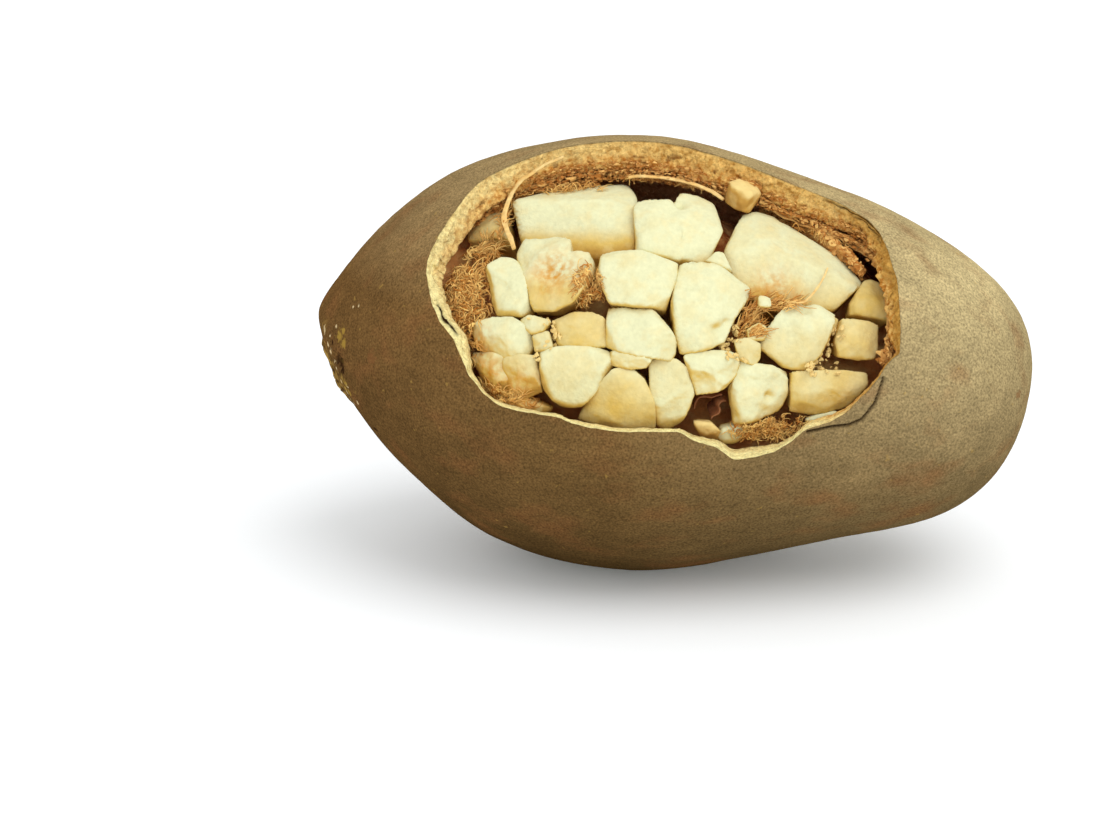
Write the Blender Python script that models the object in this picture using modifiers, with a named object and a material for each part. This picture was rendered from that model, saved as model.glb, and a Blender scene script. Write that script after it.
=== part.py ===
"""Baobab fruit pod, broken open along one side, with the pulp that it holds.

Metres, +Z up. The pod lies on a small flat spot, its long axis along X with the stem
end at -X, and its mouth faces -Y and up. A place on the pod is written as a station,
a turn and an inset: millimetres along the axis from the belly, degrees round it from
-Y (0) up to +Z (90), and millimetres in from the outer skin.
"""

import math
import random

import bmesh
import bpy
from mathutils import Matrix, Vector, noise

MM = 0.001

# Pod: a body of revolution with a round nose at +X and a pointed stem end at -X
BELLY_RADIUS = 56.3
STEM_LENGTH = 92.0
NOSE_LENGTH = 101.6
STEM_POWER = 2.4
NOSE_WAIST = 0.083
AXIS_TILT = 2.1
AXIS_PLACE = (-6.355, -0.105, 55.3)
WALL = 7.3
CAVITY_STEM = 85.0
CAVITY_NOSE = NOSE_LENGTH - WALL

# The stem scar is an oblique flat with a ragged crater, the nose is a little blunt
SCAR_CENTRE = Vector((-79.3, 0.0, -9.6))
SCAR_NORMAL = Vector((-0.895, 0.0, -0.446)).normalized()
SCAR_RADIUS = 10.0
SCAR_RIM = 1.3
SCAR_DEPTH = 2.8
SCAR_WALL = 9.0
SCAR_WAVES = ((3, 0.10, 0.7), (7, 0.07, 0.0))
SCAR_SOFTNESS = 2.5
CAVITY_SOFTNESS = 3.0
NOSE_POINT = Vector((102.6, 0.0, 0.0))
NOSE_NORMAL = Vector((0.985, 0.0, -0.174)).normalized()
NOSE_SOFTNESS = 4.0

# The outer form is moved down at the nose, up at the stem end's top and underside, and down
# behind the resting flat, which so reaches under the centre of mass: height, the stations
# between which it starts and those between which it ends, and the turns likewise
NOSE_DROOP = (-2.4, (50, 85))
SKIN_LIFTS = (
    (2.8, (-25, -60), (-68, -90), (76, 98), (130, 170)),
    (1.8, (-36, -58), (-68, -90), (-15, -60), (-110, -160)),
    (-2.4, (-75, -35), (30, 70), (-92, -110), (-128, -165)),
)

# The mouth's cutter reaches from inside the cavity to outside the skin, as shares of the
# pod's radius, and the floor takes off what lies below the resting flat
MOUTH_REACH = (0.5, 1.9)
FLOOR_SIZE = (0.4, 0.3, 0.05)

# Segments round the axis and rings along it
SKIN_GRID = (48, 32)
CAVITY_GRID = (32, 20)
HEAP_GRID = (36, 24)
PIECE_GRID = (14, 8)
SMALL_PIECE_GRID = (10, 7)
CRUMB_GRID = (8, 5)
SMALL_PIECE = 11.0

# Outer edge of the mouth, from its left end down and round, (station, turn)
MOUTH = (
    (-53.5, 46), (-52.8, 43), (-51.5, 35), (-50.5, 29), (-49.5, 26), (-47.8, 21.5),
    (-43.5, 16), (-41.7, 12), (-39, 6), (-35, 1.7), (-31.5, -0.7), (-27, -1.4),
    (-15.7, -1.8), (-12, -3), (-7.7, -3.8), (-1.6, -4.1), (8, -3.5), (13.3, -3.6),
    (17.3, -6.3), (22.1, -8), (26.6, -12.3), (32.2, -11.6), (36.3, -10.4), (40.3, -7.3),
    (43.2, -4), (49.6, -1.3), (52.6, 1), (55.2, 5), (60.3, 14), (62.5, 20),
    (64.8, 23), (64.5, 30), (63.6, 43), (64.3, 51), (60.4, 62), (58.6, 69),
    (55, 75), (47, 80), (35, 82.5), (21.5, 86), (6.5, 88), (-4.5, 88.5),
    (-16, 86.5), (-24.5, 84.5), (-36, 78), (-44, 77), (-45.5, 71), (-48.5, 61),
)

# Pulp: the pieces' faces lie on a surface this far in, and deeper ones are moved inwards
PULP_INSET = 11.0
INWARDS = Vector((-0.1165, 0.949, -0.292))
PULP_TAPER = (6.0, 11.0)
PULP_SHARPNESS = 16.0
PULP_OUTSET = 0.45
PULP_LIFT = 0.7
PULP_CENTRE = 0.42
FACET_TILT = (0.12, 0.34)
FACET_LIFT = (0.12, 0.2)
FACET_SIZE = 14.0

# Faces of the two large smooth pieces, as tilts along and across and a lift
SLANTED_FACES = {
    "pulp_01": ((0.05, 0.2, 2.2), (-0.1, -0.75, 3.6), (0.3, 0.1, 4.0)),
    "pulp_06": ((0.08, 0.25, 2.6), (-0.05, -0.6, 3.8), (-0.35, 0.1, 5.0)),
}

# The heap is all the pulp below the visible pieces; it sinks away from the wall there
HEAP_GAP = 1.0
HEAP_SINK = 21.0
HEAP_LUMP = 15.0
HEAP_GROOVE = 3.5
HEAP_LEFT = (-62.0, -49.0)
HEAP_RIGHT = (61.0, 74.0)
HEAP_BELOW = (-34.0, -15.0)
HEAP_ABOVE = (112.0, 150.0)
HEAP_FILL = 0.98
HEAP_LEAST = 0.1

# Fibres: name, (station, turn, inset) of the core, its half sizes along and across,
# count, length, and the way they lean: an angle from +X towards the turn, and its spread
FIBRE_RADIUS = 0.36
FIBRE_STEPS = 5
FIBRE_TAPER = 0.15
FIBRE_INSET = 0.8
FIBRE_CLEAR = 3.2 * FIBRE_RADIUS
FIBRE_ROOTS = 0.55
FIBRE_CURL = 0.35
FIBRE_RISE = (0.1, 0.5)
FIBRE_SHARE = (0.6, 1.1)
CORE_INSET = 1.5
CORE_HEIGHT = 1.6
CORE_ROUGHNESS = 0.25
CLEAR_STEP = 0.4
TUFTS = (
    ("fibres_left", (-43.5, 33, 13.0), (4.3, 6.0), 14, 8.5, 60, 180),
    ("fibres_top_left", (-42.5, 56.5, 14.0), (4.0, 1.8), 7, 8, 0, 60),
    ("fibres_middle", (-10.9, 36, 13.2), (1.0, 3.4), 8, 8, 120, 70),
    ("fibres_right", (28.4, 34.0, 13.4), (1.2, 2.3), 11, 11, 50, 55),
    ("fibres_low_right", (34.5, -9.0, 10.8), (4.5, 1.2), 9, 9, 10, 60),
    ("fibres_low_left", (-33.5, -2.2, 10.6), (4.0, 1.0), 7, 9, 160, 40),
)

# Membranes: name, width, thickness, how much they ripple, and the line that they follow
SHEET_TAPER = 0.35
SHEET_WAVES = (9.0, 3.0)
SHEET_CLEAR = 0.5
SHEETS = (
    ("septum_strand", 2.0, 1.0, 0.3,
     ((-24, 84.2, 9.4), (-30, 83.2, 9.4), (-35.4, 79, 9.6), (-36.2, 71, 9.8), (-34.4, 61, 9.6),
      (-32.4, 52, 9.2))),
    ("septum_strip", 3.0, 0.9, 0.4,
     ((-5, 90.5, 9.2), (4, 90.2, 9.2), (12, 89, 9.2), (18.5, 87, 9.4))),
    ("septum_fold_left", 9.0, 0.9, 0.6,
     ((15.8, -3, 15), (17.2, 1, 14.2), (20, 2.4, 14), (22.4, 2.4, 14.2))),
    ("septum_fold_right", 8.0, 0.9, 0.6,
     ((20.4, -6.4, 13.4), (21.6, -4, 13.6), (21.8, -1.6, 14.4), (23.4, 0, 15))),
    ("wall_flake_upper", 5.0, 1.0, 0.8,
     ((31, 85.5, 9.1), (40, 83.5, 9.2), (49, 79.5, 9.2), (57, 74.5, 9.2))),
    ("wall_flake_lower", 4.0, 1.0, 0.7,
     ((60.3, 66, 9.2), (62, 56, 9.2), (62.8, 46, 9.2), (62.6, 36, 9.2))),
)

# Name, lobes, depth and how far in; a lobe is a convex outline of (station, turn)
PIECES = (
    ("pulp_01", (((-33.5, 76), (-26, 84.5), (-7, 88), (-4, 80), (-2.2, 51.5), (-31, 57.5)),), 14, 0),
    ("pulp_02", (((-30.5, 54.8), (-21, 54.3), (-18, 51), (-17, 40), (-26, 36), (-30.5, 47)),
                 ((-28.5, 45.5), (-12.3, 46), (-12, 40), (-16, 31), (-20, 28.3), (-25, 28),
                  (-26.8, 36))), 14, 0),
    ("pulp_03", (((-38, 44.5), (-34, 48), (-31.2, 45.7), (-28.2, 38), (-27.1, 28.5),
                  (-28.2, 26.4), (-35, 26.8)),), 13, 0),
    ("pulp_04", (((-45.5, 71), (-42, 80), (-37.5, 80), (-36, 70), (-35.5, 60), (-44.5, 63.5)),),
     10, 3),
    ("pulp_05", (((-2.8, 73.5), (7, 74.5), (9, 49.7), (-0.7, 50.8)),
                 ((7.8, 82), (13, 83), (17.5, 77.5), (19, 70), (16.2, 50.8), (2, 50.5))), 14, 0),
    ("pulp_06", (((20.6, 55), (24, 78), (30, 80.5), (46, 71), (55.5, 61), (48.5, 42.5),
                  (36, 40), (27.5, 42), (23.4, 46.5)),), 15, 0),
    ("pulp_07", (((-9, 48.3), (3, 49.3), (8.5, 47), (8.8, 42), (7, 31), (-6, 31.7),
                  (-9.4, 39.5)),), 14, 0),
    ("pulp_08", (((10.5, 47), (20.5, 47.4), (27, 41.3), (26.8, 39), (23.6, 29.5), (10.2, 28),
                  (9.4, 33)),
                 ((9.6, 36), (25.5, 36), (23.8, 29), (23.5, 22.5), (17.5, 18.8), (12.4, 17),
                  (10.8, 22.5))), 14, 0),
    ("pulp_09", (((-6, 29.9), (5, 28.4), (7.3, 25.5), (10, 20), (10.2, 16.5), (9.3, 14.8),
                  (-5.7, 17.2)),), 14, 0),
    ("pulp_10", (((-19.2, 24), (-15.5, 26.2), (-10.5, 26.5), (-7.3, 25), (-6.8, 18),
                  (-17.3, 16.8)),), 11, 2),
    ("pulp_11", (((-40, 21.5), (-35.5, 24.3), (-30.5, 24.4), (-26.5, 21.3), (-25.2, 17),
                  (-26, 13), (-33, 11.6), (-38.5, 14)),), 13, 0),
    ("pulp_12", (((-22.5, 13.3), (-18.5, 15.2), (-9.5, 16.6), (-5.8, 15.4), (-4.9, 11),
                  (-7.6, 5), (-11.8, -1.3), (-16, -2), (-21, 2.5)),), 13, 0),
    ("pulp_13", (((-3.8, 9.6), (-0.5, 10.6), (3, 7.5), (5.6, 0.7), (6.2, -7.3), (-2, -8.3),
                  (-12, -6.8), (-8.5, 3)),), 13, 0),
    ("pulp_14", (((5, 13.3), (7.5, 14.6), (11.2, 13.8), (14.3, 10), (15, 4), (12.7, -5),
                  (10.5, -7.3), (8, -7.3), (5.8, 2.5)),), 13, 0),
    ("pulp_15", (((-4.6, 15.3), (-1, 15), (4.0, 13.8), (3.3, 12.5), (-0.5, 11.9),
                  (-4, 12.3)),), 9, 0),
    ("pulp_16", (((13.6, 15.5), (15.5, 17.1), (24.3, 17.3), (25.3, 14.5), (24.8, 9.5),
                  (23, 6.9), (16.6, 4.4), (15.7, 8)),), 12, 0),
    ("pulp_17", (((25.4, 21.8), (28.5, 22.8), (30.1, 21.3), (30.4, 17), (29.6, 15.4),
                  (26.6, 16.5)),), 9, 0),
    ("pulp_18", (((27, 15), (31, 14.3), (38, 12.2), (38.2, 3), (36.3, -2.5), (31, -5),
                  (26.3, -5.4), (24.9, 4.8), (25.9, 10.8)),), 13, 0),
    ("pulp_19", (((37.3, 37.8), (44, 38.8), (47.4, 36), (46.8, 30), (45, 20.5), (42, 14.3),
                  (37.5, 15.2), (31.6, 22), (32.2, 26.5)),), 14, 0),
    ("pulp_20", (((50.4, 35), (55, 35.8), (59.6, 35.6), (59.4, 28), (58.8, 22.8),
                  (55, 20.8), (50.6, 21.2), (49.7, 27)),), 12, 1),
    ("pulp_21", (((56, 58), (59, 56.5), (60, 49), (59.8, 42.2), (53.2, 41.2), (53, 46)),),
     10, 2),
    ("pulp_22", (((39.7, 12), (43, 12.4), (52, 13.6), (57, 13.3), (56.8, 9.5), (53, 0.4),
                  (44, -3.2), (39.9, -2.4)),), 12, 0),
    ("pulp_23", (((-30.5, 10.4), (-24.5, 10.6), (-23.8, 7), (-22.6, 0.5), (-26, -1.5),
                  (-30.5, 0)),), 10, 0),
    ("pulp_24", (((-39, 9.8), (-34, 10), (-31.3, 9.4), (-31.3, 1.5), (-33.5, 0.5),
                  (-37, 5.5)),), 9, 0),
    ("pulp_25", (((-31, -1), (-26.5, -2.6), (-21.5, -1), (-19.5, -3.6), (-20.5, -5.8),
                  (-27.5, -5.8), (-30.5, -4.2)),), 6, 0),
    ("crumb_01", (((16.8, 50), (18.6, 53), (19.8, 53), (21.8, 48.3)),), 6, 0),
    ("crumb_02", (((-27.6, 24.2), (-25.5, 25), (-21.3, 23.8), (-22.5, 21.6),
                   (-24.8, 20.6)),), 6, 0),
    ("crumb_03", (((-24, 18.8), (-21.2, 19.8), (-20.2, 16), (-23.5, 14.9)),), 7, 0),
    ("crumb_04", (((44, -6.8), (46.7, -5.2), (49.8, -4.2), (50.4, -5.4), (49.4, -7.2),
                   (46.2, -8)),), 2.4, -0.8),
    ("crumb_05", (((22.8, -11.2), (23.6, -9), (26, -8.4), (27.6, -8.9), (28, -10.6),
                   (26.8, -12.8), (23.8, -13)),), 4, 0),
    ("crumb_06", (((30.2, 38.8), (31.8, 38.8), (32, 36.8), (30.3, 36.6)),), 2, -3),
    ("crumb_07", (((28.3, 26.5), (30.3, 28.3), (31.6, 27), (31.2, 24.4), (28.6, 24.2)),), 6, 0),
    ("crumb_08", (((47.9, 35), (49, 35.2), (48.8, 31), (48.2, 30.5)),), 6, 3),
    ("pith_lump", (((20.5, 90), (27, 89.5), (27.5, 83), (24.5, 80.5), (21, 84)),), 4, -4),
    ("pith_bit", (((17, -6.5), (20, -7), (22, -10), (21.5, -12), (18.5, -10.5)),), 4, 0),
)


def radius_at(station, belly=BELLY_RADIUS, stem=STEM_LENGTH, nose=NOSE_LENGTH):
    """Radius of the pod at a station: a waisted ellipse to the nose, a power curve to the stem."""
    if station >= 0:
        share = min(station / nose, 1.0)
        waist = 1 - NOSE_WAIST * math.sin(math.pi * share) ** 1.5
        return belly * math.sqrt(1 - share ** 2) * waist
    share = min(-station / stem, 1.0)
    return belly * (1 - share ** STEM_POWER)


def round_axis(station, turn, radius):
    """Point at a radius from the pod's axis, in millimetres in the pod's own frame."""
    angle = math.radians(turn)
    return Vector((station, -radius * math.cos(angle), radius * math.sin(angle)))


def pressed(point, centre, normal, softness):
    """Point pushed back behind a plane, with a soft edge as round as softness."""
    height = (point - centre).dot(normal) / softness
    over = softness * (height if height > 30 else math.log1p(math.exp(height)))
    return point - normal * over


def eased(value, start, end):
    """Share of the way from start to end with a soft start and end."""
    share = min(max((value - start) / (end - start), 0.0), 1.0)
    return share * share * (3 - 2 * share)


def lift_at(station, turn):
    """Height by which the outer form is moved up at a station and turn."""
    height = NOSE_DROOP[0] * eased(station, *NOSE_DROOP[1])
    for rise, begins, ends, opens, closes in SKIN_LIFTS:
        along = eased(station, *begins) * (1 - eased(station, *ends))
        height += rise * along * eased(turn, *opens) * (1 - eased(turn, *closes))
    return height


def on_skin(station, turn, inset=0.0):
    """Point of the pod's outer form, or of the same form drawn in by an inset."""
    point = round_axis(station, turn, radius_at(station) - inset)
    point.z += lift_at(station, turn)
    point = pressed(point, SCAR_CENTRE, SCAR_NORMAL, SCAR_SOFTNESS)
    return pressed(point, NOSE_POINT, NOSE_NORMAL, NOSE_SOFTNESS)


def outwards(station, turn):
    """Unit normal of the outer form at a station and turn."""
    slope = radius_at(station + 0.5) - radius_at(station - 0.5)
    angle = math.radians(turn)
    return Vector((-slope, -math.cos(angle), math.sin(angle))).normalized()


def material(name, red, green, blue, roughness):
    """Principled material with one colour."""
    made = bpy.data.materials.new(name)
    made.use_nodes = True
    shader = made.node_tree.nodes["Principled BSDF"]
    shader.inputs["Base Color"].default_value = (red, green, blue, 1)
    shader.inputs["Roughness"].default_value = roughness
    return made


def new_object(name, mesh, collection, parent, colour=None):
    """Object that shows a mesh given in millimetres of the pod's frame."""
    mesh.transform(Matrix.Scale(MM, 4))
    middle = sum((v.co for v in mesh.vertices), Vector()) / len(mesh.vertices)
    mesh.transform(Matrix.Translation(-middle))
    made = bpy.data.objects.new(name, mesh)
    made.location = middle
    made.parent = parent
    collection.objects.link(made)
    if colour:
        mesh.materials.append(colour)
        mesh.shade_smooth()
    return made


def mesh_from(name, shape):
    """Mesh of a bmesh, which is freed."""
    mesh = bpy.data.meshes.new(name)
    shape.to_mesh(mesh)
    shape.free()
    return mesh


def hide_cutter(cutter):
    """Mark an object as a cutter, which is no part of the model."""
    cutter.hide_render = True
    cutter.display_type = "WIRE"


def cut(target, cutter):
    """Boolean difference that stays on the target."""
    step = target.modifiers.new("cut_" + cutter.name, "BOOLEAN")
    step.operation = "DIFFERENCE"
    step.object = cutter
    step.solver = "EXACT"


def pod_sphere(segments, rings):
    """Sphere whose poles lie on the pod's axis, radius 1."""
    shape = bmesh.new()
    bmesh.ops.create_uvsphere(shape, u_segments=segments, v_segments=rings, radius=1)
    bmesh.ops.rotate(shape, verts=shape.verts, matrix=Matrix.Rotation(math.pi / 2, 3, "Y"))
    return shape


def turn_of(point):
    """Degrees round the axis of a point, 0 at -Y and 90 at +Z."""
    return math.degrees(math.atan2(point.z, -point.y))


def scar_relief(point):
    """Height of the ragged stem scar at a point of the skin: a raised rim round a crater."""
    offset = point - SCAR_CENTRE
    across = offset - SCAR_NORMAL * offset.dot(SCAR_NORMAL)
    angle = math.atan2(across.y, across.z)
    ragged = 1 + sum(high * math.sin(count * angle + phase) for count, high, phase in SCAR_WAVES)
    distance = across.length / (SCAR_RADIUS * ragged)
    if distance > 2 or offset.length > 3 * SCAR_RADIUS:
        return 0.0
    rim = SCAR_RIM * math.exp(-((distance - 1.05) / 0.2) ** 2)
    crater = SCAR_DEPTH / (1 + math.exp((distance - 0.72) / 0.09))
    return rim - crater


def build_shell(collection, cutters, parent, colour):
    """The woody shell: outer form less the cavity, the mouth and the resting flat."""
    outer = pod_sphere(*SKIN_GRID)
    for vert in outer.verts:
        station = vert.co.x * (NOSE_LENGTH if vert.co.x > 0 else STEM_LENGTH)
        point = on_skin(station, turn_of(vert.co))
        vert.co = point + SCAR_NORMAL * scar_relief(point)
    shell = new_object("shell", mesh_from("shell", outer), collection, parent, colour)

    hollow = pod_sphere(*CAVITY_GRID)
    for vert in hollow.verts:
        station = vert.co.x * (CAVITY_NOSE if vert.co.x > 0 else CAVITY_STEM)
        vert.co = in_cavity(station, turn_of(vert.co), cavity_radius(station))
    cavity = new_object("cavity", mesh_from("cavity", hollow), cutters, parent)

    opening = bmesh.new()
    bmesh.ops.create_cone(opening, cap_ends=True, cap_tris=False, segments=len(MOUTH),
                          radius1=1, radius2=1, depth=2)
    for vert in opening.verts:
        share = math.atan2(vert.co.y, vert.co.x) / math.tau * len(MOUTH)
        station, turn = MOUTH[round(share) % len(MOUTH)]
        reach = MOUTH_REACH[1] if vert.co.z > 0 else MOUTH_REACH[0]
        vert.co = round_axis(station, turn, reach * radius_at(station))
    mouth = new_object("mouth", mesh_from("mouth", opening), cutters, parent)

    bpy.ops.mesh.primitive_cube_add(size=1)
    floor = bpy.context.object
    floor.name = "floor"
    floor.scale = FLOOR_SIZE
    floor.location = (0, 0, -FLOOR_SIZE[2] / 2)
    for old in list(floor.users_collection):
        old.objects.unlink(floor)
    cutters.objects.link(floor)

    for cutter in (cavity, mouth, floor):
        hide_cutter(cutter)
        cut(shell, cutter)


class Lobe:
    """Rounded block that stands on a convex outline, its face on the pulp surface."""

    def __init__(self, outline, centre, depth, recess, facets):
        """Planes of the block: one for each side, for each facet and for its foot."""
        corners = [on_skin(x, turn, PULP_INSET) + INWARDS * recess for x, turn in outline]
        middle = sum(corners, Vector()) / len(corners)
        station = sum(x for x, turn in outline) / len(outline)
        turn = sum(turn for x, turn in outline) / len(outline)
        self.up = outwards(station, turn)
        self.along = (Vector((1, 0, 0)) - self.up * self.up.x).normalized()
        self.across = self.up.cross(self.along)
        flat = [((c - middle).dot(self.along), (c - middle).dot(self.across)) for c in corners]
        following = flat[1:] + flat[:1]
        area = sum(a[0] * b[1] - b[0] * a[1] for a, b in zip(flat, following))
        side = 1 if area > 0 else -1
        self.centre = centre if centre else middle - self.up * depth * PULP_CENTRE
        self.planes = []
        for corner, here, there in zip(corners, flat, following):
            run = Vector((there[1] - here[1], here[0] - there[0])).normalized() * side
            lean = math.radians(PULP_TAPER[0] + PULP_TAPER[1] * abs(run.y))
            level = self.along * run.x + self.across * run.y
            side_normal = level * math.cos(lean) - self.up * math.sin(lean)
            self.add_plane(side_normal, corner + level * PULP_OUTSET)
        for tilt_along, tilt_across, lift in facets:
            normal = self.up + self.along * tilt_along + self.across * tilt_across
            self.add_plane(normal.normalized(), middle + self.up * (lift + PULP_LIFT))
        self.add_plane(-self.up, middle - self.up * depth)

    def add_plane(self, normal, point):
        """Keep a plane as its normal divided by its distance from the centre."""
        self.planes.append(normal / max(normal.dot(point - self.centre), 0.5))

    def reach(self, direction):
        """Distance from the centre to the surface: a power mean of the planes' distances."""
        total = sum(max(0.0, p.dot(direction)) ** PULP_SHARPNESS for p in self.planes)
        return total ** (-1 / PULP_SHARPNESS)


def facets_of(name, size):
    """Three broken facets that lean away from each other, drawn from the piece's name."""
    draw = random.Random(name)
    turn = draw.uniform(0, math.tau)
    facets = []
    for step in range(3):
        angle = turn + step * math.tau / 3 + draw.uniform(-0.4, 0.4)
        tilt = draw.uniform(*FACET_TILT)
        lift = size * draw.uniform(*FACET_LIFT)
        facets.append((tilt * math.cos(angle), tilt * math.sin(angle), lift))
    return facets


class Piece:
    """Block of pulp made of one or two lobes round one centre."""

    def __init__(self, name, outlines, depth, recess):
        """Lobes of the piece, all about the centre of its whole outline."""
        self.name = name
        corners = [corner for outline in outlines for corner in outline]
        self.size = max(x for x, turn in corners) - min(x for x, turn in corners)
        facets = SLANTED_FACES.get(name) or facets_of(name, min(self.size, FACET_SIZE))
        first = Lobe(outlines[0], None, depth, recess, facets)
        centre = first.centre
        if len(outlines) > 1:
            second = Lobe(outlines[1], None, depth, recess, facets)
            centre = (first.centre + second.centre) / 2
        self.lobes = [Lobe(outline, centre, depth, recess, facets) for outline in outlines]
        self.centre = centre

    def surface(self, direction):
        """Point of the surface in a direction from the centre."""
        return self.centre + direction * max(lobe.reach(direction) for lobe in self.lobes)

    def depth_inside(self, point):
        """How far a point lies within the piece along its ray, negative outside."""
        offset = point - self.centre
        direction = offset.normalized()
        return max(lobe.reach(direction) for lobe in self.lobes) - offset.length


def build_piece(piece, collection, parent, colour):
    """One block of pulp, a sphere drawn out to the piece's surface."""
    lobe = piece.lobes[0]
    grid = PIECE_GRID if piece.size > SMALL_PIECE else SMALL_PIECE_GRID
    segments, rings = grid if piece.name.startswith("pulp") else CRUMB_GRID
    shape = bmesh.new()
    bmesh.ops.create_uvsphere(shape, u_segments=segments, v_segments=rings, radius=1)
    for vert in shape.verts:
        away = vert.co.normalized()
        direction = lobe.along * away.x + lobe.across * away.y + lobe.up * away.z
        vert.co = piece.surface(direction)
    return new_object(piece.name, mesh_from(piece.name, shape), collection, parent, colour)


def cavity_radius(station):
    """Radius of the cavity at a station."""
    return radius_at(station, BELLY_RADIUS - WALL, CAVITY_STEM, CAVITY_NOSE)


def in_cavity(station, turn, radius, wall=0.0):
    """Point of the cavity, pressed in at the stem end by the wall behind the scar."""
    point = round_axis(station, turn, radius)
    centre = SCAR_CENTRE - SCAR_NORMAL * (SCAR_WALL + wall)
    return pressed(point, centre, SCAR_NORMAL, CAVITY_SOFTNESS)


def build_heap(collection, parent, colour):
    """The pulp under the visible pieces: one heap of lumps that fills the cavity."""
    shape = pod_sphere(*HEAP_GRID)
    for vert in shape.verts:
        station = vert.co.x * (CAVITY_NOSE - HEAP_GAP if vert.co.x > 0 else CAVITY_STEM - 2 * HEAP_GAP)
        turn = turn_of(vert.co)
        ends = eased(station, *HEAP_LEFT) * (1 - eased(station, *HEAP_RIGHT))
        sides = eased(turn, *HEAP_BELOW) * (1 - eased(turn, *HEAP_ABOVE))
        full = (cavity_radius(station) - HEAP_GAP) * HEAP_FILL
        lump = noise.voronoi(round_axis(station, turn, full) / HEAP_LUMP)[0][0]
        sunk = ends * sides * (HEAP_SINK + HEAP_GROOVE * min(lump, 1.0) ** 2)
        vert.co = in_cavity(station, turn, max(full - sunk, full * HEAP_LEAST), HEAP_GAP)
    return new_object("pulp_heap", mesh_from("pulp_heap", shape), collection, parent, colour)


def clear_of(pieces, point, away, gap):
    """Point lifted along a direction until it stands a gap clear of every piece."""
    for _ in range(30):
        if all(piece.depth_inside(point) < -gap for piece in pieces):
            return point
        point = point + away * CLEAR_STEP
    return point


def strand_mesh(name, points, radius):
    """Closed mesh of a thin four-sided fibre that tapers along its points."""
    data = bpy.data.curves.new(name, "CURVE")
    data.dimensions = "3D"
    data.bevel_depth = radius
    data.bevel_resolution = 0
    data.use_fill_caps = True
    spline = data.splines.new("POLY")
    spline.points.add(len(points) - 1)
    for step, point in enumerate(points):
        spline.points[step].co = (*point, 1)
        spline.points[step].radius = 1 - FIBRE_TAPER * step / len(points)
    guide = bpy.data.objects.new(name, data)
    bpy.context.scene.collection.objects.link(guide)
    depsgraph = bpy.context.evaluated_depsgraph_get()
    mesh = bpy.data.meshes.new_from_object(guide.evaluated_get(depsgraph))
    bpy.data.objects.remove(guide)
    shape = bmesh.new()
    shape.from_mesh(mesh)
    bmesh.ops.remove_doubles(shape, verts=shape.verts, dist=1e-4)
    shape.to_mesh(mesh)
    shape.free()
    return mesh


def strand_route(draw, centre, halves, length, lean, spread, pieces):
    """Points of one fibre: out of the core along the surface, curling, bent clear of pulp."""
    station, turn, inset = centre
    scale = math.degrees(1 / (radius_at(station) - inset))
    heading = math.radians(lean + draw.uniform(-spread, spread))
    station += draw.uniform(-FIBRE_ROOTS, FIBRE_ROOTS) * halves[0]
    turn += draw.uniform(-FIBRE_ROOTS, FIBRE_ROOTS) * halves[1] * scale
    curl = draw.uniform(-FIBRE_CURL, FIBRE_CURL)
    rise = draw.uniform(*FIBRE_RISE)
    reach = length * draw.uniform(*FIBRE_SHARE)
    points = []
    for step in range(FIBRE_STEPS):
        away = outwards(station, turn)
        point = on_skin(station, turn, inset + FIBRE_INSET - rise * step)
        points.append(clear_of(pieces, point, away, FIBRE_CLEAR))
        station += math.cos(heading) * reach / FIBRE_STEPS
        turn += math.sin(heading) * reach / FIBRE_STEPS * scale
        heading += curl
    return points


def build_tuft(entry, pieces, collection, parent, colour):
    """A mat of fibres joined with the small core that they spring from."""
    name, centre, halves, count, length, lean, spread = entry
    draw = random.Random(name)
    station, turn, inset = centre
    up = outwards(station, turn)
    along = (Vector((1, 0, 0)) - up * up.x).normalized()
    across = up.cross(along)
    core = bmesh.new()
    bmesh.ops.create_icosphere(core, subdivisions=2, radius=1)
    middle = on_skin(station, turn, inset + CORE_INSET)
    for vert in core.verts:
        rough = 1 + CORE_ROUGHNESS * noise.noise(vert.co * 2.3 + middle)
        vert.co = middle + (along * vert.co.x * halves[0] + across * vert.co.y * halves[1]
                            + up * vert.co.z * CORE_HEIGHT) * rough
    tuft = new_object(name, mesh_from(name, core), collection, parent, colour)
    strands = bpy.data.collections.new(name + "_strands")
    bpy.context.scene.collection.children.link(strands)
    for number in range(count):
        route = strand_route(draw, centre, halves, length, lean, spread, pieces)
        mesh = strand_mesh(f"{name}_{number}", route, FIBRE_RADIUS)
        new_object(f"{name}_{number}", mesh, strands, parent)
    step = tuft.modifiers.new("join", "BOOLEAN")
    step.operation = "UNION"
    step.operand_type = "COLLECTION"
    step.collection = strands
    step.solver = "MANIFOLD"
    bpy.context.view_layer.update()
    depsgraph = bpy.context.evaluated_depsgraph_get()
    joined = bpy.data.meshes.new_from_object(tuft.evaluated_get(depsgraph))
    tuft.modifiers.clear()
    tuft.data = keep_largest(joined)
    for strand in list(strands.objects):
        bpy.data.objects.remove(strand)
    bpy.data.collections.remove(strands)
    return tuft


def keep_largest(mesh):
    """Mesh with only its largest connected body, so loose scraps are dropped."""
    shape = bmesh.new()
    shape.from_mesh(mesh)
    bmesh.ops.remove_doubles(shape, verts=shape.verts, dist=1e-6)
    left = set(shape.verts)
    bodies = []
    while left:
        front = [left.pop()]
        body = set(front)
        while front:
            vert = front.pop()
            for edge in vert.link_edges:
                other = edge.other_vert(vert)
                if other in left:
                    left.remove(other)
                    body.add(other)
                    front.append(other)
        bodies.append(body)
    bodies.sort(key=len, reverse=True)
    loose = [vert for body in bodies[1:] for vert in body]
    bmesh.ops.delete(shape, geom=loose, context="VERTS")
    shape.to_mesh(mesh)
    shape.free()
    return mesh


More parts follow.
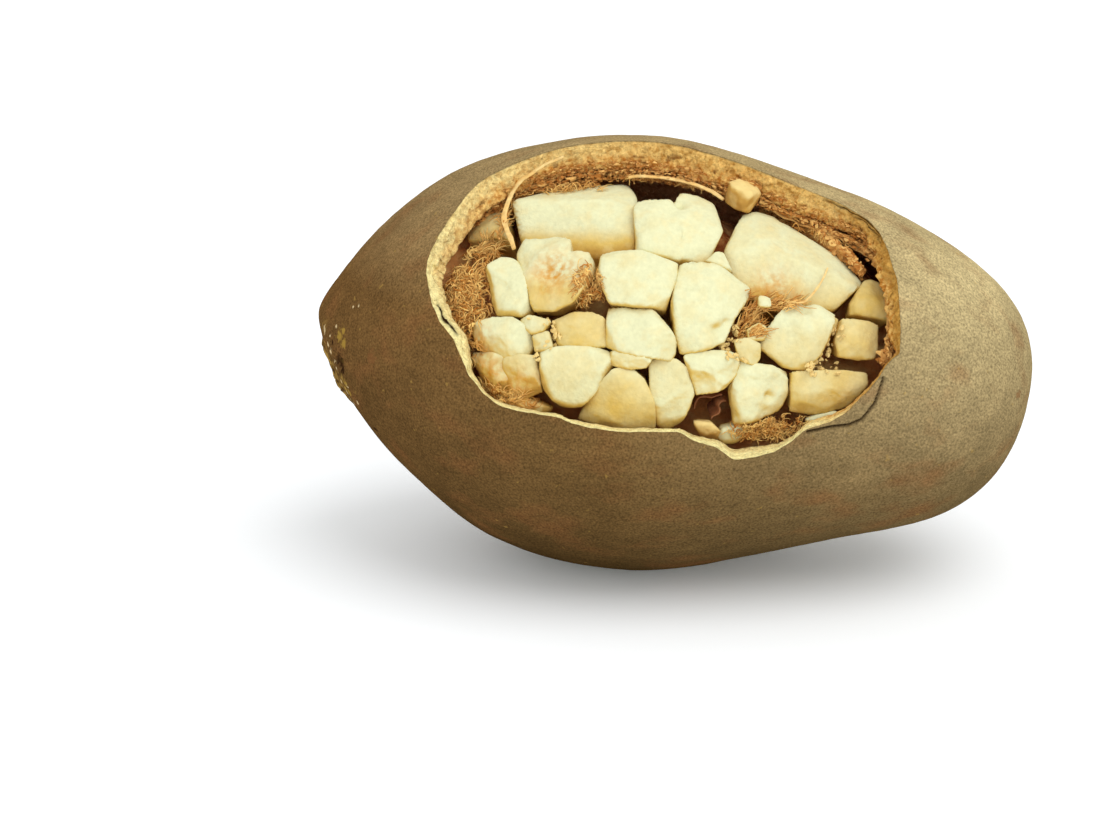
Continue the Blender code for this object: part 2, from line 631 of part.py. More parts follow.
def along_route(route, share):
    """Place at a share of a route of (station, turn, inset), on a smooth curve."""
    spot = share * (len(route) - 1)
    here = min(int(spot), len(route) - 2)
    part = spot - here
    before = Vector(route[max(here - 1, 0)])
    start = Vector(route[here])
    end = Vector(route[here + 1])
    after = Vector(route[min(here + 2, len(route) - 1)])
    return 0.5 * (2 * start + (end - before) * part
                  + (2 * before - 5 * start + 4 * end - after) * part ** 2
                  + (3 * start - before - 3 * end + after) * part ** 3)


def build_sheet(entry, pieces, collection, parent, colour):
    """A strip of membrane: a rippled grid along its line, thickened."""
    name, width, thick, ripple, route = entry
    draw = random.Random(name)
    phase = draw.uniform(0, math.tau)
    inward = name.startswith("septum_fold")
    shape = bmesh.new()
    bmesh.ops.create_grid(shape, x_segments=3 * len(route), y_segments=2, size=0.5)
    for vert in shape.verts:
        share = vert.co.x + 0.5
        side = vert.co.y
        station, turn, inset = along_route(route, share)
        ahead = along_route(route, min(share + 0.02, 1.0)) - along_route(route, max(share - 0.02, 0))
        away = outwards(station, turn)
        tangent = on_skin(station + ahead.x * 0.1, turn + ahead.y * 0.1, inset)
        run = (tangent - on_skin(station, turn, inset)).normalized()
        spread = -away if inward else away.cross(run).normalized()
        narrow = 1 - SHEET_TAPER * abs(2 * share - 1) ** 3
        offset = side + (0.5 if inward else 0.0)
        lift = ripple * math.sin(SHEET_WAVES[0] * share + SHEET_WAVES[1] * side + phase)
        normal = run.cross(spread).normalized() if inward else away
        point = on_skin(station, turn, inset) + spread * (offset * width * narrow) + normal * lift
        vert.co = clear_of(pieces, point, away, SHEET_CLEAR + thick / 2) if not inward else point
    sheet = new_object(name, mesh_from(name, shape), collection, parent, colour)
    step = sheet.modifiers.new("thickness", "SOLIDIFY")
    step.thickness = thick * MM
    step.offset = 0
    return sheet


def main():
    """Build the pod."""
    for old in list(bpy.data.objects):
        bpy.data.objects.remove(old)
    scene = bpy.context.scene
    collection = bpy.data.collections.new("baobab_pod")
    cutters = bpy.data.collections.new("cutters")
    scene.collection.children.link(collection)
    scene.collection.children.link(cutters)

    axis = bpy.data.objects.new("pod_axis", None)
    axis.location = Vector(AXIS_PLACE) * MM
    axis.rotation_euler = (0, math.radians(AXIS_TILT), 0)
    collection.objects.link(axis)

    woody = material("woody_shell", 0.16, 0.10, 0.045, 0.9)
    pulp = material("dry_pulp", 0.85, 0.79, 0.55, 0.9)
    build_shell(collection, cutters, axis, woody)
    pieces = [Piece(*entry) for entry in PIECES]
    for piece in pieces:
        build_piece(piece, collection, axis, pulp)
    build_heap(collection, axis, pulp)
    fibre = material("pod_fibre", 0.50, 0.26, 0.07, 0.8)
    membrane = material("membrane", 0.55, 0.36, 0.15, 0.7)
    for entry in TUFTS:
        build_tuft(entry, pieces, collection, axis, fibre)
    for entry in SHEETS:
        build_sheet(entry, pieces, collection, axis, membrane)


main()
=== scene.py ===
"""Visual model of a baobab fruit pod, broken open along one flank and full of dry pulp.

Lengths are millimetres in the pod's own frame until a mesh is made. A place on the pod is
a station (along the axis from the belly), a turn (degrees round it from the front up) and
an inset (how far in from the skin), as the solids of the frame have it.
"""

from __future__ import annotations

import logging
import math
import random
from dataclasses import dataclass, field
from enum import Enum

import bpy
import numpy as np
from mathutils import Matrix, Vector

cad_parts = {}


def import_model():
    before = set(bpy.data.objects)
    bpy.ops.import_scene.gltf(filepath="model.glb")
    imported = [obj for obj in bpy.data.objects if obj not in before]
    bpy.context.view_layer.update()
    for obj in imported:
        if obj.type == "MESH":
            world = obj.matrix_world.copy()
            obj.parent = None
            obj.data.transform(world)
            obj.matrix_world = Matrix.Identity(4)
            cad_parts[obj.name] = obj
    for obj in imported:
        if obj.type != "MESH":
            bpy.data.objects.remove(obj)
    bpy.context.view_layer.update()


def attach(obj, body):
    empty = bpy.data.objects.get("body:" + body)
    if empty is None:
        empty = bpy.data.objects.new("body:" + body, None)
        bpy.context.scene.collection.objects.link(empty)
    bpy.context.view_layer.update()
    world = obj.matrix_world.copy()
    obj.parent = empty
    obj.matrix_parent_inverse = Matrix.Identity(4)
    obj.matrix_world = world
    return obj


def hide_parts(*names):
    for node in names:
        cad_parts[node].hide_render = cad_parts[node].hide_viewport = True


LOG = logging.getLogger("baobab_pod")
Array = np.ndarray
Outline = tuple[tuple[float, float], ...]
Route = tuple[tuple[float, float, float], ...]
Span = tuple[float, ...]
Socket = bpy.types.NodeSocket
MM = 0.001


class Slot(Enum):
    """Material slots of the record."""

    SHELL = "shell"
    PULP = "pulp"
    FIBRE = "fibre"
    MEMBRANE = "membrane"


def unit(vectors: Array) -> Array:
    """Vectors divided by their lengths.

    Args:
        vectors: any array whose last axis is x, y, z.
    Returns:
        The same array with lengths of one.
    """
    return vectors / np.maximum(np.linalg.norm(vectors, axis=-1, keepdims=True), 1e-12)


def eased(value: Array, low: float, high: float) -> Array:
    """Share of the way from low to high with a soft start and end: 3s^2 - 2s^3.

    Args:
        value: numbers to place between low and high.
        low: where the share is 0.
        high: where the share is 1.
    Returns:
        Shares from 0 to 1.
    """
    share = np.clip((np.asarray(value, float) - low) / (high - low), 0.0, 1.0)
    return share * share * (3 - 2 * share)


def between(count: int) -> Array:
    """Evenly spaced shares between 0 and 1, without the two ends."""
    return np.arange(1, count + 1) / (count + 1)


def ball_grid(rows: int, columns: int) -> Array:
    """Unit vectors of a sphere's grid, without the two poles on its last axis.

    Args:
        rows: rings from pole to pole.
        columns: points of each ring.
    Returns:
        Vectors, (rows, columns, 3).
    """
    tilt = (between(rows) * math.pi)[:, None]
    angle = (np.arange(columns) / columns * math.tau)[None]
    level = [np.sin(tilt) * np.cos(angle), np.sin(tilt) * np.sin(angle)]
    return np.stack([*level, np.cos(tilt) + 0 * angle], -1)


def on_route(route: Route, share: Array) -> Array:
    """Places at shares of a route, on a smooth curve through its points (Catmull-Rom).

    Args:
        route: the points, each a station, a turn and an inset.
        share: how far along each place is, 0 to 1.
    Returns:
        Stations, turns and insets.
    """
    corners = np.array(route, float)
    spot = share * (len(corners) - 1)
    here = np.minimum(spot.astype(int), len(corners) - 2)
    part = (spot - here)[:, None]
    before, start = corners[np.maximum(here - 1, 0)], corners[here]
    end, after = corners[here + 1], corners[np.minimum(here + 2, len(corners) - 1)]
    return 0.5 * (2 * start + (end - before) * part
                  + (2 * before - 5 * start + 4 * end - after) * part**2
                  + (3 * start - before - 3 * end + after) * part**3)


class Grain:
    """Smooth random numbers in space, the same in every run."""

    CORNERS = np.array([(i, j, k) for i in (0, 1) for j in (0, 1) for k in (0, 1)])

    @staticmethod
    def at_cells(cells: Array, seed: int) -> Array:
        """Random number of each whole-number cell, mixed from its three indices and a seed.

        Args:
            cells: whole numbers, the last axis x, y, z.
            seed: which of many patterns.
        Returns:
            Numbers from -1 to 1.
        """
        mask = np.int64(0xFFFFFFFF)
        mixed = cells[..., 0] * 374761393 + cells[..., 1] * 668265263 + cells[..., 2] * 1440662683
        mixed = (mixed + seed * 1274126177) & mask
        mixed = ((mixed ^ (mixed >> 13)) * 1103515245) & mask
        mixed = ((mixed ^ (mixed >> 16)) * 668265263) & mask
        return (mixed ^ (mixed >> 15)) / float(mask) * 2 - 1

    @classmethod
    def value(cls, points: Array, size: float, seed: int = 0) -> Array:
        """Random numbers at whole cells, blended in between with a smooth step.

        Args:
            points: places, the last axis x, y, z.
            size: width of a cell, in the unit of the places.
            seed: which of many patterns.
        Returns:
            Numbers from -1 to 1, one for each place.
        """
        scaled = np.asarray(points, float) / size
        cells = np.floor(scaled).astype(np.int64)
        part = scaled - cells
        part = part * part * (3 - 2 * part)
        total = np.zeros(scaled.shape[:-1])
        for corner in cls.CORNERS:
            weight = np.prod(np.where(corner == 1, part, 1 - part), axis=-1)
            total += weight * cls.at_cells(cells + corner, seed)
        return total

    @classmethod
    def fractal(cls, points: Array, size: float, octaves: int = 3, seed: int = 0) -> Array:
        """Sum of patterns, each half as large and half as strong as the one before.

        Args:
            points: places, the last axis x, y, z.
            size: width of the largest pattern's cells.
            octaves: how many patterns are added.
            seed: which of many patterns.
        Returns:
            Numbers from about -1 to 1.
        """
        parts = [cls.value(points, size / 2**step, seed + step) / 2**step for step in range(octaves)]
        return np.sum(parts, axis=0) / (2 - 2 ** (1 - octaves))


@dataclass(frozen=True)
class PodForm:
    """The pod's form: a turned body with a waisted round nose and a pointed stem end."""

    belly: float = 56.3
    stem_length: float = 92.0
    nose_length: float = 101.6
    stem_power: float = 2.4
    nose_waist: float = 0.083
    wall: float = 7.3
    cavity_stem: float = 85.0
    axis_tilt: float = 2.1
    axis_place: tuple[float, float, float] = (-6.355, -0.105, 55.3)
    scar_centre: tuple[float, float, float] = (-79.3, 0.0, -9.6)
    scar_normal: tuple[float, float, float] = (-0.895, 0.0, -0.446)
    scar_radius: float = 10.0
    scar_softness: float = 2.5
    scar_wall: float = 9.0
    cavity_softness: float = 3.0
    nose_point: tuple[float, float, float] = (102.6, 0.0, 0.0)
    nose_normal: tuple[float, float, float] = (0.985, 0.0, -0.174)
    nose_softness: float = 4.0
    nose_droop: tuple[float, tuple[float, float]] = (-2.4, (50, 85))
    skin_lifts: tuple[tuple, ...] = (
        (2.8, (-25, -60), (-68, -90), (76, 98), (130, 170)),
        (1.8, (-36, -58), (-68, -90), (-15, -60), (-110, -160)),
        (-2.4, (-75, -35), (30, 70), (-92, -110), (-128, -165)),
    )

    def profile(self, station: Array, belly: float, stem: float, nose: float) -> Array:
        """Radius at a station: a waisted ellipse ahead of the belly, a power curve behind it.

        Args:
            station: millimetres along the axis from the belly.
            belly: radius at the belly.
            stem: length to the stem end.
            nose: length to the nose.
        Returns:
            Radii in millimetres.
        """
        ahead = np.clip(np.asarray(station, float) / nose, 0.0, 1.0)
        behind = np.clip(-np.asarray(station, float) / stem, 0.0, 1.0)
        waist = 1 - self.nose_waist * np.sin(math.pi * ahead) ** 1.5
        front = belly * np.sqrt(1 - ahead**2) * waist
        return np.where(ahead > 0, front, belly * (1 - behind**self.stem_power))

    def radius(self, station: Array) -> Array:
        """Radius of the skin at a station."""
        return self.profile(station, self.belly, self.stem_length, self.nose_length)

    def cavity_radius(self, station: Array) -> Array:
        """Radius of the cavity at a station."""
        nose = self.nose_length - self.wall
        return self.profile(station, self.belly - self.wall, self.cavity_stem, nose)

    @staticmethod
    def round_axis(station: Array, turn: Array, radius: Array) -> Array:
        """Points at a radius from the axis: x, -r cos(turn), r sin(turn)."""
        angle = np.radians(turn)
        return np.stack(np.broadcast_arrays(station, -radius * np.cos(angle), radius * np.sin(angle)), -1)

    @staticmethod
    def pressed(points: Array, centre: Array, normal: Array, softness: float) -> Array:
        """Points pushed back behind a plane: each moves by s log(1 + exp(height / s)).

        Args:
            points: places to press.
            centre: a point of the plane.
            normal: direction that the plane faces.
            softness: roundness of the edge that the plane leaves.
        Returns:
            The pressed places.
        """
        facing = unit(np.asarray(normal, float))
        height = (points - np.asarray(centre)) @ facing / softness
        over = softness * np.logaddexp(0.0, height)
        return points - over[..., None] * facing

    def lift(self, station: Array, turn: Array) -> Array:
        """Height by which the outer form is moved: at the nose, the stem end and the resting flat.

        Args:
            station: millimetres along the axis from the belly.
            turn: degrees round the axis.
        Returns:
            Millimetres; the stem end is fuller above and flatter below, the flat reaches back.
        """
        height = self.nose_droop[0] * eased(station, *self.nose_droop[1])
        for rise, begins, ends, opens, closes in self.skin_lifts:
            along = eased(station, *begins) * (1 - eased(station, *ends))
            height = height + rise * along * eased(turn, *opens) * (1 - eased(turn, *closes))
        return height

    def skin(self, station: Array, turn: Array, inset: Array | float = 0.0) -> Array:
        """Points of the skin, or of the same form drawn in by an inset."""
        points = self.round_axis(station, turn, self.radius(station) - inset)
        points = points + self.lift(station, turn)[..., None] * np.array([0.0, 0.0, 1.0])
        points = self.pressed(points, self.scar_centre, self.scar_normal, self.scar_softness)
        return self.pressed(points, self.nose_point, self.nose_normal, self.nose_softness)

    def lining(self, station: Array, turn: Array, radius: Array, gap: float = 0.0) -> Array:
        """Points of the cavity, pressed in at the stem end by the wall behind the scar."""
        points = self.round_axis(station, turn, radius)
        facing = unit(np.asarray(self.scar_normal, float))
        centre = np.asarray(self.scar_centre) - facing * (self.scar_wall + gap)
        return self.pressed(points, centre, facing, self.cavity_softness)

    def outwards(self, station: Array, turn: Array) -> Array:
        """Unit normals of the skin, from the slope of its radius over one millimetre."""
        station, turn = np.broadcast_arrays(np.asarray(station, float), np.asarray(turn, float))
        slope = self.radius(station + 0.5) - self.radius(station - 0.5)
        angle = np.radians(turn)
        return unit(np.stack([-slope, -np.cos(angle), np.sin(angle)], -1))

    def to_row(self, points: Array) -> Array:
        """Points of the pod's frame in metres of the row's frame: tilted about Y, then moved."""
        tilt = math.radians(self.axis_tilt)
        x = points[..., 0] * math.cos(tilt) + points[..., 2] * math.sin(tilt)
        z = -points[..., 0] * math.sin(tilt) + points[..., 2] * math.cos(tilt)
        return (np.stack([x, points[..., 1], z], -1) + np.asarray(self.axis_place)) * MM


@dataclass
class Surface:
    """Closed bodies made of rings of points, each body with a point at its two ends."""

    rings: Array
    first: Array
    last: Array
    marks: dict[str, Array] = field(default_factory=dict)

    def points(self) -> Array:
        """All points, body by body: the first end, the rings and the last end."""
        bodies, rows, columns, _ = self.rings.shape
        flat = self.rings.reshape(bodies, rows * columns, 3)
        return np.concatenate([self.first[:, None], flat, self.last[:, None]], 1).reshape(-1, 3)

    def faces(self) -> tuple[Array, Array]:
        """Quads between neighbouring rings and triangles round the ends.

        Returns:
            Corner indices of all faces in a row, and the number of corners of each face.
        """
        bodies, rows, columns, _ = self.rings.shape
        column = np.arange(columns)
        after = (column + 1) % columns
        low = 1 + np.arange(rows - 1)[:, None] * columns
        quads = np.stack([low + column, low + after, low + columns + after, low + columns + column], -1)
        start = np.stack([np.zeros_like(column), 1 + after, 1 + column], -1)
        top = 1 + (rows - 1) * columns
        end = np.stack([np.full_like(column, rows * columns + 1), top + column, top + after], -1)
        stride = (np.arange(bodies) * (rows * columns + 2))[:, None, None]
        corners = [part.reshape(1, -1, part.shape[-1]) + stride for part in (quads, start, end)]
        sizes = [np.full(part.shape[0] * part.shape[1], part.shape[2]) for part in corners]
        return np.concatenate([part.ravel() for part in corners]), np.concatenate(sizes)

    def mark_values(self, name: str) -> Array:
        """Values of a mark at all points; the ends take the mean of the ring beside them."""
        values = np.broadcast_to(self.marks[name], self.rings.shape[:3])
        bodies = values.shape[0]
        ends = [values[:, side].mean(-1, keepdims=True) for side in (0, -1)]
        return np.concatenate([ends[0], values.reshape(bodies, -1), ends[1]], 1).ravel()

    def build(self, name: str, form: PodForm, smooth: bool = True) -> bpy.types.Object:
        """Object with this surface as its mesh, facing outwards.

        Args:
            name: name of the piece.
            form: the pod, which knows where its frame lies.
            smooth: whether its shading runs smoothly over the edges.
        Returns:
            The new object, at the origin.
        """
        points = form.to_row(self.points())
        corners, sizes = self.faces()
        starts = np.concatenate([[0], np.cumsum(sizes)[:-1]])
        if self.volume(points, corners, starts, sizes) < 0:
            corners = self.turned(corners, starts, sizes)
        mesh = bpy.data.meshes.new(name)
        mesh.vertices.add(len(points))
        mesh.vertices.foreach_set("co", points.astype(np.float32).ravel())
        mesh.loops.add(len(corners))
        mesh.loops.foreach_set("vertex_index", corners.astype(np.int32))
        mesh.polygons.add(len(sizes))
        mesh.polygons.foreach_set("loop_start", starts.astype(np.int32))
        for key in self.marks:
            layer = mesh.attributes.new(key, "FLOAT", "POINT")
            layer.data.foreach_set("value", self.mark_values(key).astype(np.float32))
        mesh.update(calc_edges=True)
        mesh.validate()
        if smooth:
            mesh.shade_smooth()
        else:
            mesh.shade_flat()
        made = bpy.data.objects.new(name, mesh)
        bpy.context.scene.collection.objects.link(made)
        return made

    @staticmethod
    def volume(points: Array, corners: Array, starts: Array, sizes: Array) -> float:
        """Signed volume from the faces' first three corners and, on quads, their last three."""
        a, b, c = (points[corners[starts + step]] for step in range(3))
        total = float(np.einsum("ij,ij->", a, np.cross(b, c)))
        quads = starts[sizes == 4]
        a, b, c = (points[corners[quads + step]] for step in (0, 2, 3))
        return total + float(np.einsum("ij,ij->", a, np.cross(b, c)))

    @staticmethod
    def turned(corners: Array, starts: Array, sizes: Array) -> Array:
        """Corner indices with each face's order reversed."""
        place = np.arange(len(corners))
        face = np.repeat(np.arange(len(sizes)), sizes)
        return corners[starts[face] + sizes[face] - 1 - (place - starts[face])]


def mounted(piece: bpy.types.Object, slot: Slot, finish: bpy.types.Material, *nodes: str) -> None:
    """Give a piece its material, its body and the nodes that it stands for.

    Args:
        piece: the finished object.
        slot: the record's material slot; not used.
        finish: the material.
        nodes: names of the frame's nodes that the piece replaces.
    """
    piece.data.materials.clear()
    piece.data.materials.append(finish)
    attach(piece, "root")
    if nodes:
        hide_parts(*nodes)
    LOG.info("%s: %d faces", piece.name, len(piece.data.polygons))


def linear(code: str) -> tuple[float, float, float, float]:
    """Linear colour of an sRGB hex code: v / 12.92 near black, ((v + 0.055) / 1.055)^2.4 above it."""
    levels = [int(code[place:place + 2], 16) / 255 for place in (1, 3, 5)]
    made = [v / 12.92 if v <= 0.04045 else ((v + 0.055) / 1.055) ** 2.4 for v in levels]
    return (made[0], made[1], made[2], 1.0)


def add(tree: bpy.types.NodeTree, kind: str, inputs: dict | None = None, **settings) -> bpy.types.Node:
    """Shader node with its settings, values and links.

    Args:
        tree: the material's node tree.
        kind: the node's type without its ShaderNode prefix.
        inputs: values or output sockets by input name or number.
        settings: properties of the node.
    Returns:
        The new node.
    """
    node = tree.nodes.new("ShaderNode" + kind)
    for key, value in settings.items():
        setattr(node, key, value)
    for key, value in (inputs or {}).items():
        if isinstance(value, bpy.types.NodeSocket):
            tree.links.new(value, node.inputs[key])
        else:
            node.inputs[key].default_value = value
    return node


class Palette:
    """Steps that several finishes share, in one material's node tree."""

    def __init__(self, name: str, roughness: float, gloss: float = 0.2) -> None:
        """Start a material with a rough dielectric surface.

        Args:
            name: the material's name.
            roughness: roughness of the surface.
            gloss: level of its highlights, low where hairs or powder break them up.
        """
        self.material = bpy.data.materials.new(name)
        self.material.use_nodes = True
        self.tree = self.material.node_tree
        self.shader = self.tree.nodes["Principled BSDF"]
        self.shader.inputs["Roughness"].default_value = roughness
        self.shader.inputs["IOR"].default_value = 1.45
        self.shader.inputs["Specular IOR Level"].default_value = gloss
        self.place = add(self.tree, "TexCoord").outputs["Object"]

    def grain(self, size_mm: float, detail: float = 3.0, stretch: Span = (1, 1, 1)) -> Socket:
        """Noise whose features are about size_mm wide, stretched along an axis where wanted."""
        spread = add(self.tree, "Mapping", {"Vector": self.place, "Scale": stretch})
        scale = 1 / (size_mm * MM)
        inputs = {"Vector": spread.outputs["Vector"], "Scale": scale, "Detail": detail}
        return add(self.tree, "TexNoise", inputs).outputs["Fac"]

    def mark(self, name: str) -> Socket:
        """Value of one of the mesh's own marks."""
        return add(self.tree, "Attribute", attribute_name=name).outputs["Fac"]

    def span(self, value: Socket, low: float, high: float, start: float = 0.0, end: float = 1.0) -> Socket:
        """Value brought from low..high to start..end and kept inside."""
        inputs = {"Value": value, "From Min": low, "From Max": high, "To Min": start, "To Max": end}
        return add(self.tree, "MapRange", inputs).outputs["Result"]

    def mix(self, share: Socket | float, first: Socket | str, second: Socket | str,
            blend: str = "MIX") -> Socket:
        """Two colours mixed by a share; hex codes are turned to linear colours."""
        colours = [linear(part) if isinstance(part, str) else part for part in (first, second)]
        inputs = {0: share, 6: colours[0], 7: colours[1]}
        return add(self.tree, "Mix", inputs, data_type="RGBA", blend_type=blend).outputs[2]

    def blots(self, centres: Array, widths: list[float], edge: Socket) -> Socket:
        """Share from 0 to 1 that any of some blots shows.

        Args:
            centres: their places in metres.
            widths: their radii in millimetres.
            edge: value from 0 to 1 that makes their edges ragged.
        Returns:
            The largest of their shares.
        """
        ragged = self.span(edge, 0.3, 0.7, 0.4, 1.9)
        shown = 0.0
        for centre, width in zip(centres, widths):
            inputs = {0: self.place, 1: tuple(centre)}
            away = add(self.tree, "VectorMath", inputs, operation="DISTANCE").outputs["Value"]
            near = self.span(self.times(away, ragged), width * MM, 0.4 * width * MM)
            shown = add(self.tree, "Math", {0: near, 1: shown}, operation="MAXIMUM").outputs[0]
        return shown

    def times(self, first: Socket, second: Socket | float) -> Socket:
        """Product of two values."""
        return add(self.tree, "Math", {0: first, 1: second}, operation="MULTIPLY").outputs[0]

    def greyed(self, colour: Socket, grey: Socket) -> Socket:
        """Colour multiplied by a grey."""
        tone = add(self.tree, "CombineColor", {0: grey, 1: grey, 2: grey}).outputs[0]
        return self.mix(1.0, colour, tone, "MULTIPLY")

    def shaded(self, colour: Socket, value: Socket, low: float, high: float) -> Socket:
        """Colour multiplied by a grey that runs from low to high as value runs from 0.25 to 0.75."""
        return self.greyed(colour, self.span(value, 0.25, 0.75, low, high))

    def bumped(self, height: Socket, depth_mm: float, strength: float = 1.0,
               below: Socket | None = None) -> Socket:
        """Bump of a height from 0 to 1 over depth_mm, on top of another bump."""
        inputs = {"Height": height, "Distance": depth_mm * MM, "Strength": strength}
        if below is not None:
            inputs["Normal"] = below
        return add(self.tree, "Bump", inputs).outputs["Normal"]

    def done(self, colour: Socket, normal: Socket) -> bpy.types.Material:
        """Material with the colour and the bump joined to its shader."""
        self.tree.links.new(colour, self.shader.inputs["Base Color"])
        self.tree.links.new(normal, self.shader.inputs["Normal"])
        return self.material


@dataclass(frozen=True)
class WoodyShell:
    """Dry woody rind: a matt velvet of short hairs outside, a fibrous cream break, a rough
    red-brown lining. The velvet turns from dark brown at the stem to olive tan at the nose."""

    stem: str = "#70522e"
    middle: str = "#886a3f"
    nose: str = "#baa87a"
    russet: str = "#7c5230"
    # painted shade: share of the velvet's colour left at the underside
    under: float = 0.40
    break_pale: str = "#fbeeab"
    break_gold: str = "#ecc070"
    break_inner: str = "#c28238"
    break_dusk: str = "#cc9c4e"
    crevice_shade: str = "#6a3e1a"
    # painted shade in the pits and crevices of the break
    fibre_line: str = "#ae7830"
    lining: str = "#cc7440"
    lining_light: str = "#dc9c5c"
    # painted light: paler colour of the upper lining, which lies in shade
    upper_lining_light: str = "#ffc48c"
    # painted shade in cracks, splits and the hole below the scar; also the skin's dark spots
    crack_shade_and_spots: str = "#2a180c"
    scar: str = "#b39048"
    gold: str = "#a5853a"
    fleck: str = "#e2c896"
    scar_dark: str = "#3c2a16"
    # widths of the patterns in millimetres
    hair_mm: float = 0.55
    mottle_mm: float = 14.0
    blotch_mm: float = 9.0
    nap_mm: float = 3.2
    spot_mm: float = 2.0
    fray_mm: float = 0.9
    rough_mm: float = 2.2
    speck_mm: float = 1.5
    shred_mm: float = 1.3
    pit_mm: float = 2.6
    scar_mm: float = 1.6
    grit_mm: float = 1.0
    tear_mm: float = 2.0
    line_scale: float = 9.0
    # where along x or up z a change begins and ends in metres, and what it goes from and to
    stem_to_middle: Span = (-0.085, 0.02)
    to_nose: Span = (-0.01, 0.075)
    # the nose's paler colour is its own; its fading towards the underside is painted shade
    nose_shade_rise: Span = (0.03, 0.08, 0.3, 1.0)
    # painted shade: heights over which the underside's darkening fades out
    underside_shade_rise: Span = (0.006, 0.085)
    sunlit_rise: Span = (0.075, 0.112, 0.0, 0.45)
    top_rise: Span = (0.074, 0.100)
    top_ahead: Span = (-0.055, 0.0, 0.45, 1.0)
    right_rim: Span = (0.030, 0.050)
    right_rise: Span = (0.046, 0.060, 0.0, 1.3)
    dusk_rim: Span = (0.040, 0.054)
    dusk_rise: Span = (0.05, 0.065)
    # painted light on the upper lining, over these heights
    upper_lining_light_rise: Span = (0.060, 0.086, 0.0, 0.9)
    # small patches on the skin: station, turn and radius
    gold_patches: Route = (
        (-77.0, 13.0, 1.9), (-75.6, 8.5, 1.5), (-76.0, 17.5, 1.4),
        (-75.6, -23.0, 1.5), (-74.6, -28.5, 1.4), (-76.2, -31.0, 1.2),
    )
    pale_flecks: Route = (
        (-83.2, 19.5, 0.7), (-83.0, 16.0, 0.8), (-81.6, 1.0, 0.9), (-80.8, -5.0, 0.9), (-79.6, -12.5, 0.7),
        (-79.3, -19.0, 0.6), (-77.6, -29.0, 0.7), (-76.0, -34.0, 0.7), (-74.8, -24.0, 0.6),
        (-75.2, -41.0, 0.8), (-73.6, -38.5, 0.7), (-71.6, -30.0, 0.6), (-73.5, 32.6, 0.5),
        (-71.8, 32.1, 0.55), (-80.6, 11.5, 0.6), (-78.4, 20.5, 0.6),
    )
    # dark spots of the skin, in the colour of the painted crack shade
    dark_spots: Route = (
        (-77.6, -8.0, 3.0), (-76.6, -12.5, 2.4), (-66.6, -39.5, 1.3), (-74.0, -41.0, 1.0), (-79.6, 6.0, 0.9),
    )
    red_patches: Route = ((-66.8, 4.8, 2.6), (-62.5, -49.0, 1.6), (95.9, 10.5, 1.6))

    def velvet(self, p: Palette, x: Socket, z: Socket, hairs: Socket, form: PodForm) -> Socket:
        """Colour of the skin: hairs over mottles, darker below as painted shade, with the small patches of
        the photo.

        Args:
            p: the material being made.
            x: place along the pod in metres.
            z: height in metres.
            hairs: the hairs' pattern.
            form: the pod, which knows where its skin lies.
        Returns:
            The colour's socket.
        """
        # the nose's own paler colour, with painted shade towards its underside
        nose = p.times(p.span(x, *self.to_nose), p.span(z, *self.nose_shade_rise))
        colour = p.mix(nose, p.mix(p.span(x, *self.stem_to_middle), self.stem, self.middle), self.nose)
        # painted shade: the velvet darkens towards the underside
        colour = p.greyed(colour, p.span(z, *self.underside_shade_rise, self.under, 1.0))
        colour = p.mix(p.span(z, *self.sunlit_rise), colour, self.nose)
        colour = p.shaded(colour, p.grain(self.mottle_mm, 4), 0.86, 1.14)
        blotches = p.span(p.grain(self.blotch_mm, 3, (0.5, 1, 1)), 0.52, 0.72, 0.0, 0.5)
        colour = p.mix(blotches, colour, self.russet)
        colour = p.shaded(colour, p.grain(self.nap_mm, 3, (0.25, 1, 1)), 0.88, 1.12)
        colour = p.shaded(colour, hairs, 0.56, 1.44)
        colour = p.mix(p.times(p.span(p.grain(self.spot_mm, 2), 0.70, 0.76), 0.35), colour, self.scar)
        edge = p.grain(self.fray_mm, 4)
        for patches, tint, share in (
            (self.red_patches, self.russet, 0.6), (self.gold_patches, self.gold, 0.75),
            (self.pale_flecks, self.fleck, 0.8), (self.dark_spots, self.crack_shade_and_spots, 0.95),
        ):
            station, turn, width = np.array(patches).T
            shown = p.blots(form.to_row(form.skin(station, turn)), list(width), edge)
            colour = p.mix(p.times(shown, share), colour, tint)
        return colour

